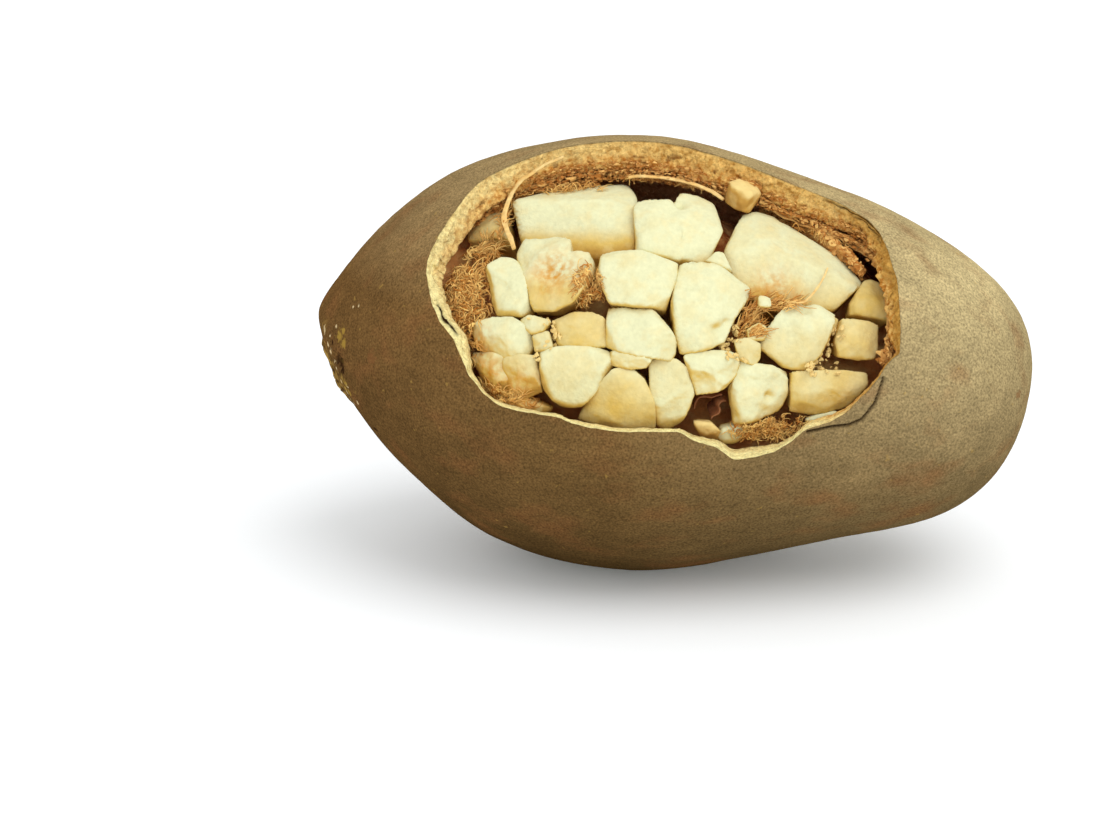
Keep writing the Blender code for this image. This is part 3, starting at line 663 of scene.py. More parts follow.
    def broken(self, p: Palette, x: Socket, z: Socket, rough: Socket) -> Socket:
        """Colour of the broken wall: fibrous cream, darker inwards, paler on the upper and right rims.

        Args:
            p: the material being made.
            x: place along the pod in metres.
            z: height in metres.
            rough: the pattern that the break shares with the lining.
        Returns:
            The colour's socket.
        """
        across = p.mark("across")
        flat = add(p.tree, "CombineXYZ", {0: p.mark("run"), 1: across}).outputs[0]
        along = {"Vector": flat, "Scale": self.line_scale, "Detail": 4.0}
        lines = add(p.tree, "TexNoise", along).outputs["Fac"]
        top = p.times(p.span(z, *self.top_rise), p.span(x, *self.top_ahead))
        right = p.times(p.span(x, *self.right_rim), p.span(z, *self.right_rise))
        high = add(p.tree, "Math", {0: top, 1: right}, operation="MAXIMUM").outputs[0]
        dusk = p.times(p.span(x, *self.dusk_rim), p.span(z, *self.dusk_rise))
        colour = p.mix(high, self.break_pale, p.mix(dusk, self.break_gold, self.break_dusk))
        colour = p.shaded(colour, p.grain(self.fray_mm, 4), 0.66, 1.2)
        specks = p.times(p.span(p.grain(self.speck_mm, 5), 0.50, 0.62), p.span(high, 0.0, 1.0, 0.1, 0.65))
        colour = p.mix(specks, colour, self.fibre_line)
        streaks = p.times(p.span(lines, 0.54, 0.66), p.span(high, 0.0, 1.0, 0.05, 0.35))
        colour = p.mix(streaks, colour, self.fibre_line)
        reach = add(p.tree, "Math", {0: across, 1: rough}, operation="ADD").outputs[0]
        inner = p.times(p.span(reach, 0.90, 1.20), p.span(high, 0.0, 0.6, 0.25, 1.0))
        shreds = p.span(p.grain(self.shred_mm, 4), 0.4, 0.6)
        colour = p.mix(inner, colour, p.mix(shreds, self.break_inner, self.break_gold))
        # painted shade: dark pits on the upper and right breaks, where crevices lie in shade
        pit_shade = p.span(p.grain(self.pit_mm, 6, (0.6, 1, 1)), 0.42, 0.34)
        pit_shade = p.times(pit_shade, p.span(across, 0.15, 0.6, 0.1, 0.9))
        return p.mix(p.times(pit_shade, high), colour, self.crevice_shade)

    def build(self, form: PodForm) -> bpy.types.Material:
        """Material of the whole shell, told apart by the mesh's marks and places on the skin."""
        p = Palette("velvet_woody_rind", 1.0, 0.0)
        axes = add(p.tree, "SeparateXYZ", {"Vector": p.place}).outputs
        hairs = p.grain(self.hair_mm, 2)
        rough = p.grain(self.rough_mm, 4)
        lining = p.mix(p.span(rough, 0.48, 0.66), self.lining, self.lining_light)
        # painted light: the upper lining turns paler to lift its shade
        lining = p.mix(p.span(axes["Z"], *self.upper_lining_light_rise), lining, self.upper_lining_light)
        scar = p.mix(p.span(p.grain(self.scar_mm, 4), 0.42, 0.6), self.scar_dark, self.scar)
        colour = self.velvet(p, axes["X"], axes["Z"], hairs, form)
        colour = p.mix(p.mark("cut"), colour, self.broken(p, axes["X"], axes["Z"], rough))
        # the marked cracks, splits and hole get painted shade
        for mark, part in (("lining", lining), ("scar", scar), ("crack_shade_and_spots", self.crack_shade_and_spots)):
            colour = p.mix(p.mark(mark), colour, part)
        fine = p.bumped(hairs, 0.35, 0.6)
        gritty = p.bumped(p.grain(self.grit_mm, 4), 0.5, 0.5, fine)
        torn = p.bumped(p.times(p.grain(self.tear_mm, 6), p.mark("cut")), 2.2, 0.7, gritty)
        return p.done(colour, p.bumped(rough, 0.9, 0.3, torn))


@dataclass(frozen=True)
class DryPulp:
    """Freeze-dry chalky pulp: matt, powdery cream faces, golden with painted shade where it turns into the
    gaps.
    """

    face: str = "#deddb2"
    # side and deep: golden colours of painted shade on faces turned from the light and in the gaps
    side: str = "#d8b862"
    deep: str = "#b08238"
    warm: str = "#e4cf90"
    # colour of stains, and of painted shade in hollows
    stain: str = "#cf9238"
    powder_mm: float = 0.9
    name: str = "dry_chalky_pulp"

    def build(self) -> bpy.types.Material:
        """Material of the pulp; the mark side gives golden painted shade, the stain mark stains and shade."""
        p = Palette(self.name, 0.95, 0.15)
        # painted shade on the pieces; on the heap the mark side is the lumps' own tone
        side = p.mark("side")
        cloud = p.grain(6.0, 3)
        tone = add(p.tree, "Math", {0: side, 1: p.span(cloud, 0.3, 0.7, -0.12, 0.12)}, operation="ADD")
        colour = p.mix(p.span(tone.outputs[0], 0.0, 0.6), self.face, self.side)
        colour = p.mix(p.span(tone.outputs[0], 0.6, 1.1), colour, self.deep)
        # stains, and painted shade in hollows
        stained = p.times(p.mark("stain"), p.span(p.grain(1.8, 4), 0.35, 0.6))
        colour = p.mix(stained, colour, self.stain)
        colour = p.mix(p.span(p.grain(4.0, 5), 0.5, 0.75, 0.0, 0.45), colour, self.warm)
        colour = p.shaded(colour, p.grain(1.2, 4), 0.93, 1.05)
        powder = p.bumped(p.grain(self.powder_mm, 3), 0.35, 0.6)
        return p.done(colour, p.bumped(cloud, 0.6, 0.3, powder))


@dataclass(frozen=True)
class DryFibre:
    """Dry plant fibre: dull orange-brown strands, paler where they are thin."""

    name: str = "dry_orange_fibre"
    dark: str = "#b86c18"
    light: str = "#ffda84"

    def build(self) -> bpy.types.Material:
        """Material whose tone differs from strand to strand by the mark tone."""
        p = Palette(self.name, 0.8, 0.25)
        colour = p.mix(p.mark("tone"), self.dark, self.light)
        grain = p.grain(1.2, 3)
        return p.done(p.shaded(colour, grain, 0.8, 1.15), p.bumped(grain, 0.3, 0.4))


def new_finishes(form: PodForm) -> dict[str, bpy.types.Material]:
    """All the pod's materials by a short name."""
    kinds = {
        "pulp": DryPulp(),
        "bed": DryPulp("#e2b874", "#cc8c50", "#ac643a", stain="#9c5428", name="shaded_pulp_bed"),
        "tan": DryPulp("#e8cc86", "#c89a4c", "#925c24", name="tan_fibrous_pulp"),
        "fibre": DryFibre(),
        "void_membrane": DryFibre("red_brown_membrane", "#703420", "#b47c50"),
        "flake": DryFibre("woody_lining_flake", "#b0702e", "#f4c878"),
        "strand": DryFibre("pale_fibre_strand", "#d8a654", "#f8dc9a"),
    }
    return {"shell": WoodyShell().build(form)} | {key: kind.build() for key, kind in kinds.items()}


@dataclass
class Shell:
    """The rind: skin, broken edge and lining as one closed surface round the mouth."""

    form: PodForm
    mouth: Outline = (
        (-52.4, 48.5), (-53.1, 44), (-53.0, 39.5), (-51.9, 34), (-50.8, 29), (-49.5, 26), (-47.8, 21.5),
        (-43.5, 16), (-41.7, 12), (-39, 6), (-35, 1.7), (-31.5, -0.7), (-27, -1.4),
        (-15.7, -1.8), (-12, -3), (-7.7, -3.8), (-1.6, -4.1), (8, -3.5), (13.3, -3.6),
        (17.3, -6.3), (22.1, -8), (26.6, -12.3), (32.2, -11.6), (36.3, -10.4), (40.3, -7.3),
        (43.2, -4), (49.6, -1.3), (52.6, 1), (55.2, 5), (60.3, 14), (62.5, 20),
        (64.8, 23), (64.8, 30), (63.9, 42), (62.8, 51), (60.2, 62), (58.0, 69.5),
        (55, 75), (47, 80), (35, 82.5), (21.5, 86), (6.5, 88), (-4.5, 88.5),
        (-16, 86.5), (-24.5, 84.5), (-35, 79), (-40, 77.2), (-43.5, 74.5), (-45.8, 69), (-49.0, 59.5),
        (-51.0, 53.5),
    )
    crack_shade_and_spotss: tuple[Outline, ...] = (
        ((44, -4.6), (49.7, -3.2), (54, -2.6), (57, -0.6), (59.8, 5.2), (61.4, 14)),
    )
    splits: tuple[tuple[float, float, float, float, float], ...] = (
        (-47.5, 21.5, 6.0, 0.36, 0.09), (52.0, 75.5, 11.0, 0.10, 0.03), (55.0, 72.5, 7.0, 0.22, 0.025),
    )
    slant_left: float = 4.4
    slant_right: float = 3.4
    slant_low: float = -1.7
    slant_notch: float = 0.8
    slant_corner: float = -0.1
    columns: int = 840
    near_rows: int = 24
    far_rows: int = 46
    break_rows: int = 20
    lining_rows: int = 24
    soft_rows: float = 3.0
    near_mm: float = 8.0
    crack_shade_and_spots_width: float = 0.3
    crack_shade_and_spots_depth: float = 1.2
    edge_noise: float = 0.32
    flat_height: float = 0.0
    skin_swell: float = 0.22
    skin_grit: float = 0.05
    scar_rim: float = 1.3
    scar_crater: float = 2.8
    scar_grit: float = 0.8
    scar_hole: tuple[float, float] = (-77.8, -9.1)
    hole_width: float = 2.2
    hole_depth: float = 1.6
    hole_shade: float = 0.5
    run_mm: float = 40.0

    def on_sphere(self, station: Array, turn: Array, stem: float, nose: float) -> Array:
        """Unit vectors that stand for places: x is the share of the length, turn goes round it."""
        station = np.asarray(station, float)
        share = np.clip(np.where(station > 0, station / nose, station / stem), -1.0, 1.0)
        return self.form.round_axis(share, turn, np.sqrt(1 - share**2))

    @staticmethod
    def off_sphere(ways: Array, stem: float, nose: float) -> tuple[Array, Array]:
        """Stations and turns of unit vectors, the reverse of on_sphere."""
        station = np.where(ways[..., 0] > 0, ways[..., 0] * nose, ways[..., 0] * stem)
        return station, np.degrees(np.arctan2(ways[..., 2], -ways[..., 1]))

    def edge_places(self) -> tuple[Array, Array]:
        """Stations and turns of the mouth's edge at each column, closer together at cracks.

        Returns:
            Stations and turns with a fine raggedness added.
        """
        corners = np.array(self.mouth + self.mouth[:1], float)
        scale = np.radians(self.form.radius(corners[:, 0]))
        runs = np.hypot(np.diff(corners[:, 0]), np.diff(corners[:, 1]) * scale[1:])
        length = np.concatenate([[0], np.cumsum(runs)])
        fine = np.linspace(0, length[-1], 4001)
        track = np.stack([np.interp(fine, length, corners[:, axis]) for axis in (0, 1)], -1)
        kernel = np.hanning(45)[:, None] / np.hanning(45).sum()
        padded = np.concatenate([track[-45:-1], track, track[1:45]])
        smooth = np.stack([np.convolve(padded[:, axis], kernel[:, 0], "same") for axis in (0, 1)], -1)[44:-44]
        places = self.form.skin(smooth[:, 0], smooth[:, 1])
        gap = np.min([self.distance(places, line) for line in self.crack_shade_and_spotss], axis=0)
        weight = 1 + 1.6 * np.exp(-((gap / 8) ** 2))
        pace = np.concatenate([[0], np.cumsum((weight[1:] + weight[:-1]) / 2)])
        picks = np.interp(np.arange(self.columns) / self.columns * pace[-1], pace, fine)
        station = np.interp(picks, fine, smooth[:, 0])
        turn = np.interp(picks, fine, smooth[:, 1])
        here = self.form.skin(station, turn)
        station = station + self.edge_noise * Grain.fractal(here, 3.2, 3, 5)
        wander = self.edge_noise * Grain.fractal(here, 3.2, 3, 9)
        return station, turn + wander / np.radians(self.form.radius(station))

    def distance(self, points: Array, line: Outline) -> Array:
        """Shortest distance from points to a line drawn on the skin."""
        corners = self.form.skin(*np.array(line, float).T)
        best = np.full(points.shape[:-1], np.inf)
        for start, end in zip(corners[:-1], corners[1:]):
            run = end - start
            share = np.clip((points - start) @ run / (run @ run), 0, 1)
            best = np.minimum(best, np.linalg.norm(points - start - share[..., None] * run, axis=-1))
        return best

    def scar_relief(self, points: Array) -> tuple[Array, Array]:
        """Height of the stem scar, a raised ragged rim round a crater, and how much it shows.

        Args:
            points: points of the skin.
        Returns:
            Heights along the scar's normal in millimetres, and shares from 0 to 1.
        """
        normal = unit(np.asarray(self.form.scar_normal))
        offset = points - np.asarray(self.form.scar_centre)
        across = offset - (offset @ normal)[..., None] * normal
        angle = np.arctan2(across[..., 1], across[..., 2])
        ragged = 1 + 0.10 * np.sin(3 * angle + 0.7) + 0.07 * np.sin(7 * angle)
        distance = np.linalg.norm(across, axis=-1) / (self.form.scar_radius * ragged)
        near = (distance < 2.4) & (np.linalg.norm(offset, axis=-1) < 3 * self.form.scar_radius)
        rim = self.scar_rim * np.exp(-(((distance - 1.05) / 0.2) ** 2))
        crater = self.scar_crater / (1 + np.exp((distance - 0.72) / 0.09))
        rough = self.scar_grit * Grain.fractal(points, 2.6, 3, 21) * np.exp(-(((distance - 0.9) / 0.35) ** 2))
        flecks = 0.9 * eased(Grain.fractal(points, 2.2, 3, 61), 0.1, 0.4) * eased(-distance, -2.3, -1.2)
        shown = np.exp(-(((distance - 1.0) / 0.3) ** 2)) + flecks
        hole = self.hole_depth * np.exp(-(self.from_hole(points) ** 2))
        return np.where(near, rim - crater + rough, 0.0) - hole, np.where(near, np.minimum(shown, 1), 0.0)

    def from_hole(self, points: Array) -> Array:
        """Distance from the small hole below the scar, in widths of the hole."""
        return np.linalg.norm(points - self.form.skin(*self.scar_hole), axis=-1) / self.hole_width

    @staticmethod
    def fan(edge: Array) -> tuple[Array, Array, Array]:
        """Centre of a closed line on the sphere, and each of its points seen from there.

        Args:
            edge: unit vectors of the line.
        Returns:
            The centre, the angle from it to each point and the direction that leads there.
        """
        centre = unit(edge.mean(0))
        towards = edge @ centre
        return centre, np.arccos(np.clip(towards, -1, 1)), unit(edge - towards[:, None] * centre)

    def skin_rings(self, station: Array, turn: Array) -> tuple[Array, Array, Array]:
        """Rings of the skin from its back to the mouth's edge, with the scar and the cracks.

        Args:
            station: stations of the edge.
            turn: turns of the edge.
        Returns:
            The rings, and shares from 0 to 1 of the scar and of the cracks at each point.
        """
        form = self.form
        stem, nose = form.stem_length, form.nose_length
        centre, gap, across = self.fan(self.on_sphere(station, turn, stem, nose))
        band = self.near_mm / form.belly
        near = np.linspace(band, 0, self.near_rows) * np.ones((self.columns, 1))
        far = band + (math.pi - gap[:, None] - band) * (1 - between(self.far_rows)[None])
        reach = (gap[:, None] + np.concatenate([far, near], 1)).T[..., None]
        place = self.off_sphere(centre * np.cos(reach) + across * np.sin(reach), stem, nose)
        skin = form.skin(*place)
        relief, scarred = self.scar_relief(skin)
        skin = skin + unit(np.asarray(form.scar_normal)) * relief[..., None]
        cracked = np.max([np.exp(-((self.distance(skin, line) / self.crack_shade_and_spots_width) ** 2))
                          for line in self.crack_shade_and_spotss], axis=0)
        swell = self.skin_swell * Grain.fractal(skin, 17.0, 3, 2)
        swell = swell + self.skin_grit * Grain.fractal(skin, 2.4, 2, 4)
        skin = skin + form.outwards(*place) * (swell - self.crack_shade_and_spots_depth * cracked)[..., None]
        return skin, scarred, cracked

    def break_rings(self, station: Array, turn: Array, steps: Array) -> tuple[Array, Array]:
        """Rings over the broken wall from the skin to the cavity, chewed and leaning.

        Args:
            station: stations of the edge.
            turn: turns of the edge.
            steps: share of the way across the break at each ring.
        Returns:
            The rings, and how far the last one is moved towards the mouth.
        """
        form = self.form
        outer, inner = form.radius(station), form.cavity_radius(station)
        wall = form.round_axis(station, turn, outer + (inner - outer) * steps)
        wall[..., 2] += form.lift(station, turn) * (1 - steps)
        side = unit(np.cross(form.outwards(station, turn), unit(np.gradient(wall[0], axis=0))))
        middle = form.skin(station.mean(), turn.mean())
        side = side * np.sign(np.einsum("ij,ij->i", side, middle - wall[0]))[:, None]
        lean = self.slants(station, turn)
        chew = Grain.fractal(wall, 2.4, 4, 11) + 0.5 * Grain.fractal(wall, 1.1, 2, 12)
        chew = chew * (1 + 0.9 * eased(station, 5, 35) * eased(turn, 30, 60))
        chew = (1.0 - 0.6 * eased(-turn, -60, 0)) * chew * np.minimum(steps * 5, 1)
        wall = wall + side * (chew + lean * steps - 0.3 * np.abs(2 * steps - 1) ** 4)[..., None]
        return wall, side * ((lean + chew[-1]) * self.fade())[..., None]

    def build(self) -> Surface:
        """Rings from the back of the skin to the mouth's edge, over the break, to the lining's back."""
        station, turn = self.edge_places()
        steps = np.linspace(0, 1, self.break_rows + 1)[1:, None]
        skin, scarred, cracked = self.skin_rings(station, turn)
        wall, moved = self.break_rings(station, turn, steps)
        rings = np.concatenate([skin, wall, self.lining(station, turn) + moved])
        first, last = len(skin), len(skin) + len(wall)
        names = ("cut", "lining", "across", "crack_shade_and_spots", "scar", "run")
        marks = {name: np.zeros((1, len(rings), self.columns)) for name in names}
        marks["cut"][0, first:] = 1
        marks["lining"][0, last:] = np.minimum(np.arange(len(rings) - last) / self.soft_rows, 1)[:, None]
        marks["across"][0, first:last] = steps
        marks["across"][0, last:] = 1
        marks["crack_shade_and_spots"][0, first:last] = self.split_marks(wall[0], steps)
        hole = self.from_hole(skin)
        # painted shade in the skin's cracks and in the hole below the scar
        marks["crack_shade_and_spots"][0, :first] = np.maximum(cracked, self.hole_shade * (hole < 1) * (1 - hole**2))
        marks["scar"][0, :first] = scarred
        runs = np.linalg.norm(np.diff(wall[0], axis=0), axis=-1)
        marks["run"][0] = np.concatenate([[0], np.cumsum(runs)]) / self.run_mm
        rings = self.on_floor(rings)
        ends = [rings[0].mean(0), rings[-1].mean(0)]
        return Surface(rings[None], ends[0][None], ends[1][None], marks)

    def slants(self, station: Array, turn: Array) -> Array:
        """How far the break's inner edge stands out past the outer one, towards the mouth.

        Args:
            station: stations of the edge.
            turn: turns of the edge.
        Returns:
            Millimetres: wide faces at the two ends, an undercut along the lower side.
        """
        left = (0.75 + 0.25 * eased(turn, 18, 32)) * eased(-station, 28, 46) * eased(turn, -4, 16)
        right = eased(station, 50, 61) * eased(turn, 16, 34) * (1 - eased(turn, 62, 80))
        low = (1 - eased(turn, 4, 30)) * (1 - left) * (1 - eased(station, 36, 46))
        notch = np.exp(-(((station - 29) / 6.5) ** 2)) * (1 - eased(turn, 0, 20))
        corner = eased(station, 40, 48) * (1 - eased(turn, 12, 24))
        return (self.slant_left * left + self.slant_right * right + self.slant_low * low
                + self.slant_notch * notch + self.slant_corner * corner)

    def fade(self) -> Array:
        """How much of the break's slant the lining's rings still have: all at the break, then none."""
        return (1 - np.arange(1, self.lining_rows + 1) / self.lining_rows)[:, None] ** 8

    def split_marks(self, edge: Array, steps: Array) -> Array:
        """Painted shade of dark splits along the break: each near one place of the edge, at one depth across
        it.

        Args:
            edge: points of the outer edge.
            steps: share of the way across the break at each ring.
        Returns:
            Shares from 0 to 1 at each ring and column.
        """
        shown = np.zeros((len(steps), len(edge)))
        for station, turn, reach, depth, width in self.splits:
            near = np.linalg.norm(edge - self.form.skin(station, turn), axis=-1) / reach
            wander = depth + 0.06 * Grain.fractal(edge, 5.0, 2, 41)
            line = np.exp(-(((steps - wander) / width) ** 2)) * (near < 1) * np.sqrt(np.maximum(1 - near, 0))
            shown = np.maximum(shown, np.minimum(line * 2, 1))
        return shown

    def lining(self, station: Array, turn: Array) -> Array:
        """Rings of the cavity's wall from the break to its back, roughened where they show."""
        form = self.form
        stem, nose = form.cavity_stem, form.nose_length - form.wall
        centre, gap, across = self.fan(self.on_sphere(station, turn, stem, nose))
        reach = (gap + (math.pi - gap) * (between(self.lining_rows) ** 1.6)[:, None])[..., None]
        place = self.off_sphere(centre * np.cos(reach) + across * np.sin(reach), stem, nose)
        radius = form.cavity_radius(place[0])
        rough = 0.9 * Grain.fractal(form.round_axis(*place, radius), 5.0, 4, 31)
        return form.lining(*place, radius - 0.25 + np.minimum(rough, 0.2))

    def on_floor(self, rings: Array) -> Array:
        """Rings with what would lie below the resting flat lifted onto it."""
        row = self.form.to_row(rings)
        short = np.maximum(self.flat_height - row[..., 2], 0.0) / MM
        tilt = math.radians(self.form.axis_tilt)
        return rings + short[..., None] * np.array([-math.sin(tilt), 0.0, math.cos(tilt)])


@dataclass
class Lobe:
    """Rounded block on a convex outline: planes for its sides, its facets and its foot."""

    form: PodForm
    outline: Outline
    depth: float
    recess: float
    facets: tuple[tuple[float, float, float], ...]
    centre: Array | None = None
    inset: float = 11.0
    inwards: tuple[float, float, float] = (-0.1165, 0.949, -0.292)
    taper: tuple[float, float] = (6.0, 11.0)
    sharpness: float = 60.0
    outset: float = 0.8
    lift: float = 0.5

    def __post_init__(self) -> None:
        """Frame of the block and its planes, each as a normal divided by its distance."""
        places = np.array(self.outline, float)
        corners = self.form.skin(places[:, 0], places[:, 1], self.inset)
        corners = corners + np.array(self.inwards) * self.recess
        self.middle = corners.mean(0)
        self.up = self.form.outwards(*places.mean(0))
        self.along = unit(np.array([1.0, 0, 0]) - self.up * self.up[0])
        self.across = np.cross(self.up, self.along)
        if self.centre is None:
            self.centre = self.middle - self.up * self.depth * 0.42
        flat = np.stack([(corners - self.middle) @ self.along, (corners - self.middle) @ self.across], -1)
        after = np.roll(flat, -1, 0)
        side = np.sign(np.sum(flat[:, 0] * after[:, 1] - after[:, 0] * flat[:, 1]))
        run = unit(np.stack([after[:, 1] - flat[:, 1], flat[:, 0] - after[:, 0]], -1)) * side
        lean = np.radians(self.taper[0] + self.taper[1] * np.abs(run[:, 1]))[:, None]
        level = run[:, :1] * self.along + run[:, 1:] * self.across
        normals = [level * np.cos(lean) - self.up * np.sin(lean)]
        points = [corners + level * self.outset]
        for tilt_along, tilt_across, lift in self.facets:
            normals.append(unit(self.up + self.along * tilt_along + self.across * tilt_across)[None])
            points.append((self.middle + self.up * (lift + self.lift))[None])
        normals.append(-self.up[None])
        points.append((self.middle - self.up * self.depth)[None])
        facing, through = np.concatenate(normals), np.concatenate(points)
        room = np.maximum(np.einsum("ij,ij->i", facing, through - self.centre), 0.5)
        self.planes = facing / room[:, None]

    def reach(self, ways: Array) -> Array:
        """Distance from the centre to the surface along unit vectors: (sum of p^n)^(-1/n)."""
        shares = np.maximum(ways @ self.planes.T, 0.0)
        return np.sum(shares**self.sharpness, -1) ** (-1 / self.sharpness)


@dataclass
class Chunk:
    """One broken block of pulp, of one or two lobes about a common centre."""

    form: PodForm
    name: str
    outlines: tuple[Outline, ...]
    depth: float
    recess: float
    finish: str = "pulp"
    columns: int = 96
    rows: int = 52
    roughness: float = 0.34
    slanted: tuple[tuple[float, float, float], ...] | None = None
    # stain and painted shade round one place of the piece
    stain: tuple[float, float, float] | None = None
    # golden tone and painted shade over the whole piece
    golden: float = 0.0
    # painted shade on the lower part: none above the first turn, full below the second, at this share
    graded: tuple[float, float, float] = (60.0, 30.0, 0.0)
    dents: tuple[tuple[float, float, float, float], ...] = ()
    sharpness: float = 60.0
    crispness: float = 90.0
    chips: int = 14
    chip_depth: float = 1.6
    chip_rise: tuple[float, float] = (18.0, 70.0)
    inset: float = 11.0
    # painted shade: faces turned from this light, and faces below the top face, turn golden
    light: tuple[float, float, float] = (0.2, -0.45, 0.87)
    shade_from: float = 0.66
    shade_span: float = 0.75
    shade_share: float = 0.75
    gap_shade_from: float = 0.4
    gap_shade_to: float = 6.0

    def __post_init__(self) -> None:
        """Lobes of the piece, all about the centre of its whole outline."""
        corners = [corner for outline in self.outlines for corner in outline]
        stations = [station for station, _ in corners]
        self.size = max(stations) - min(stations)
        facets = self.slanted or self.facets(min(self.size, 14.0))
        shape = (self.depth, self.recess, facets)
        trial = [Lobe(self.form, outline, *shape, inset=self.inset) for outline in self.outlines]
        self.centre = sum(lobe.centre for lobe in trial) / len(trial)
        self.lobes = [Lobe(self.form, outline, *shape, self.centre, self.inset, sharpness=self.sharpness)
                      for outline in self.outlines]
        rng = np.random.default_rng(sum(self.name.encode()) + 7)
        lobe = self.lobes[0]
        frame = np.stack([lobe.along, lobe.across, lobe.up])
        turn = rng.uniform(0, math.tau, self.chips)
        rise = np.radians(rng.uniform(*self.chip_rise, self.chips))
        ways = np.stack([np.cos(rise) * np.cos(turn), np.cos(rise) * np.sin(turn), np.sin(rise)], -1) @ frame
        probes = unit(np.random.default_rng(5).normal(0, 1, (2500, 3)))
        farthest = np.max((probes * self.reach(probes)[:, None]) @ ways.T, axis=0)
        depth = min(self.chip_depth, 0.1 * self.size)
        self.chipped = ways / (farthest - rng.uniform(0.3, 1.0, self.chips) * depth)[:, None]

    def facets(self, size: float) -> tuple[tuple[float, float, float], ...]:
        """Three broken facets that lean away from each other, drawn from the piece's name."""
        draw = random.Random(self.name)
        turn = draw.uniform(0, math.tau)
        made = []
        for step in range(3):
            angle = turn + step * math.tau / 3 + draw.uniform(-0.4, 0.4)
            tilt = draw.uniform(0.12, 0.34)
            lift = size * draw.uniform(0.12, 0.2)
            made.append((tilt * math.cos(angle), tilt * math.sin(angle), lift))
        return tuple(made)

    def reach(self, ways: Array) -> Array:
        """Distance from the centre to the surface: that of the lobe that reaches furthest."""
        return np.max([lobe.reach(ways) for lobe in self.lobes], axis=0)

    def inside(self, points: Array) -> Array:
        """How far points lie within the piece along their rays, negative outside."""
        offset = points - self.centre
        length = np.linalg.norm(offset, axis=-1)
        return self.reach(unit(offset)) - length

    def build(self) -> Surface:
        """A sphere's grid drawn out to the surface, with chipped and powdery roughness and a mark of painted
        shade.
        """
        lobe = self.lobes[0]
        frame = np.stack([lobe.along, lobe.across, lobe.up])
        ways = ball_grid(self.rows, self.columns) @ frame
        tips = np.array([[0.0, 0, 1], [0, 0, -1]]) @ frame
        rings = self.centre + ways * self.roughened(ways)[..., None]
        caps = self.centre + tips * self.roughened(tips)[..., None]
        # painted shade: golden below the top face, on faces turned from the light and low in the mouth
        face = max(float((part.middle - self.centre) @ lobe.up) for part in self.lobes)
        height = (rings - self.centre) @ lobe.up - face
        normal = unit(np.cross(np.gradient(rings, axis=1), np.gradient(rings, axis=0)))
        normal = normal * np.sign(np.einsum("ijk,ijk->ij", normal, ways))[..., None]
        dim = self.shade_from - normal @ unit(np.array(self.light))
        turned = self.shade_share * eased(dim, 0.0, self.shade_span)
        side = np.maximum(eased(-height, self.gap_shade_from, self.gap_shade_to), turned)
        side = self.golden + (1 - self.golden) * side
        # painted shade on the piece's lower part
        high, low, share = self.graded
        turns = np.degrees(np.arctan2(rings[..., 2], -rings[..., 1]))
        side = np.maximum(side, share * eased(-turns, -high, -low))
        marks = {"side": side[None], "stain": self.stained(rings)[None]}
        return Surface(rings[None], caps[:1], caps[1:], marks)

    def roughened(self, ways: Array) -> Array:
        """Reach less chips and dents, with swells and ridges about 6 mm wide and grit of 1.3 mm."""
        whole = self.reach(ways)
        cut = np.sum(np.maximum(ways @ self.chipped.T * whole[..., None], 0.0) ** self.crispness, -1)
        reach = whole * (1 + cut) ** (-1 / self.crispness)
        points = self.centre + ways * reach[..., None]
        seed = sum(self.name.encode())
        swell = Grain.fractal(points, 5.5, 3, seed)
        ridges = 1 - 2 * np.abs(Grain.value(points, 6.0, seed + 50))
        grit = Grain.fractal(points, 1.3, 2, seed + 90)
        made = reach + self.roughness * (0.8 * swell + 0.6 * ridges) + 0.12 * grit
        for station, turn, width, depth in self.dents:
            made = made - depth * np.exp(-((self.beside(points, station, turn) / width) ** 2))
        return made

    def beside(self, points: Array, station: float, turn: float) -> Array:
        """Distance of points from the line that runs straight in from a place of the skin."""
        offset = points - self.form.skin(station, turn, 11.0)
        up = self.form.outwards(station, turn)
        return np.linalg.norm(offset - (offset @ up)[..., None] * up, axis=-1)

    def stained(self, points: Array) -> Array:
        """Share of orange-brown stain and painted shade round one place of the piece, (station, turn, width).
        """
        if self.stain is None:
            return np.zeros(points.shape[:-1])
        station, turn, width = self.stain
        return np.exp(-(self.beside(points, station, turn) / width) ** 2)


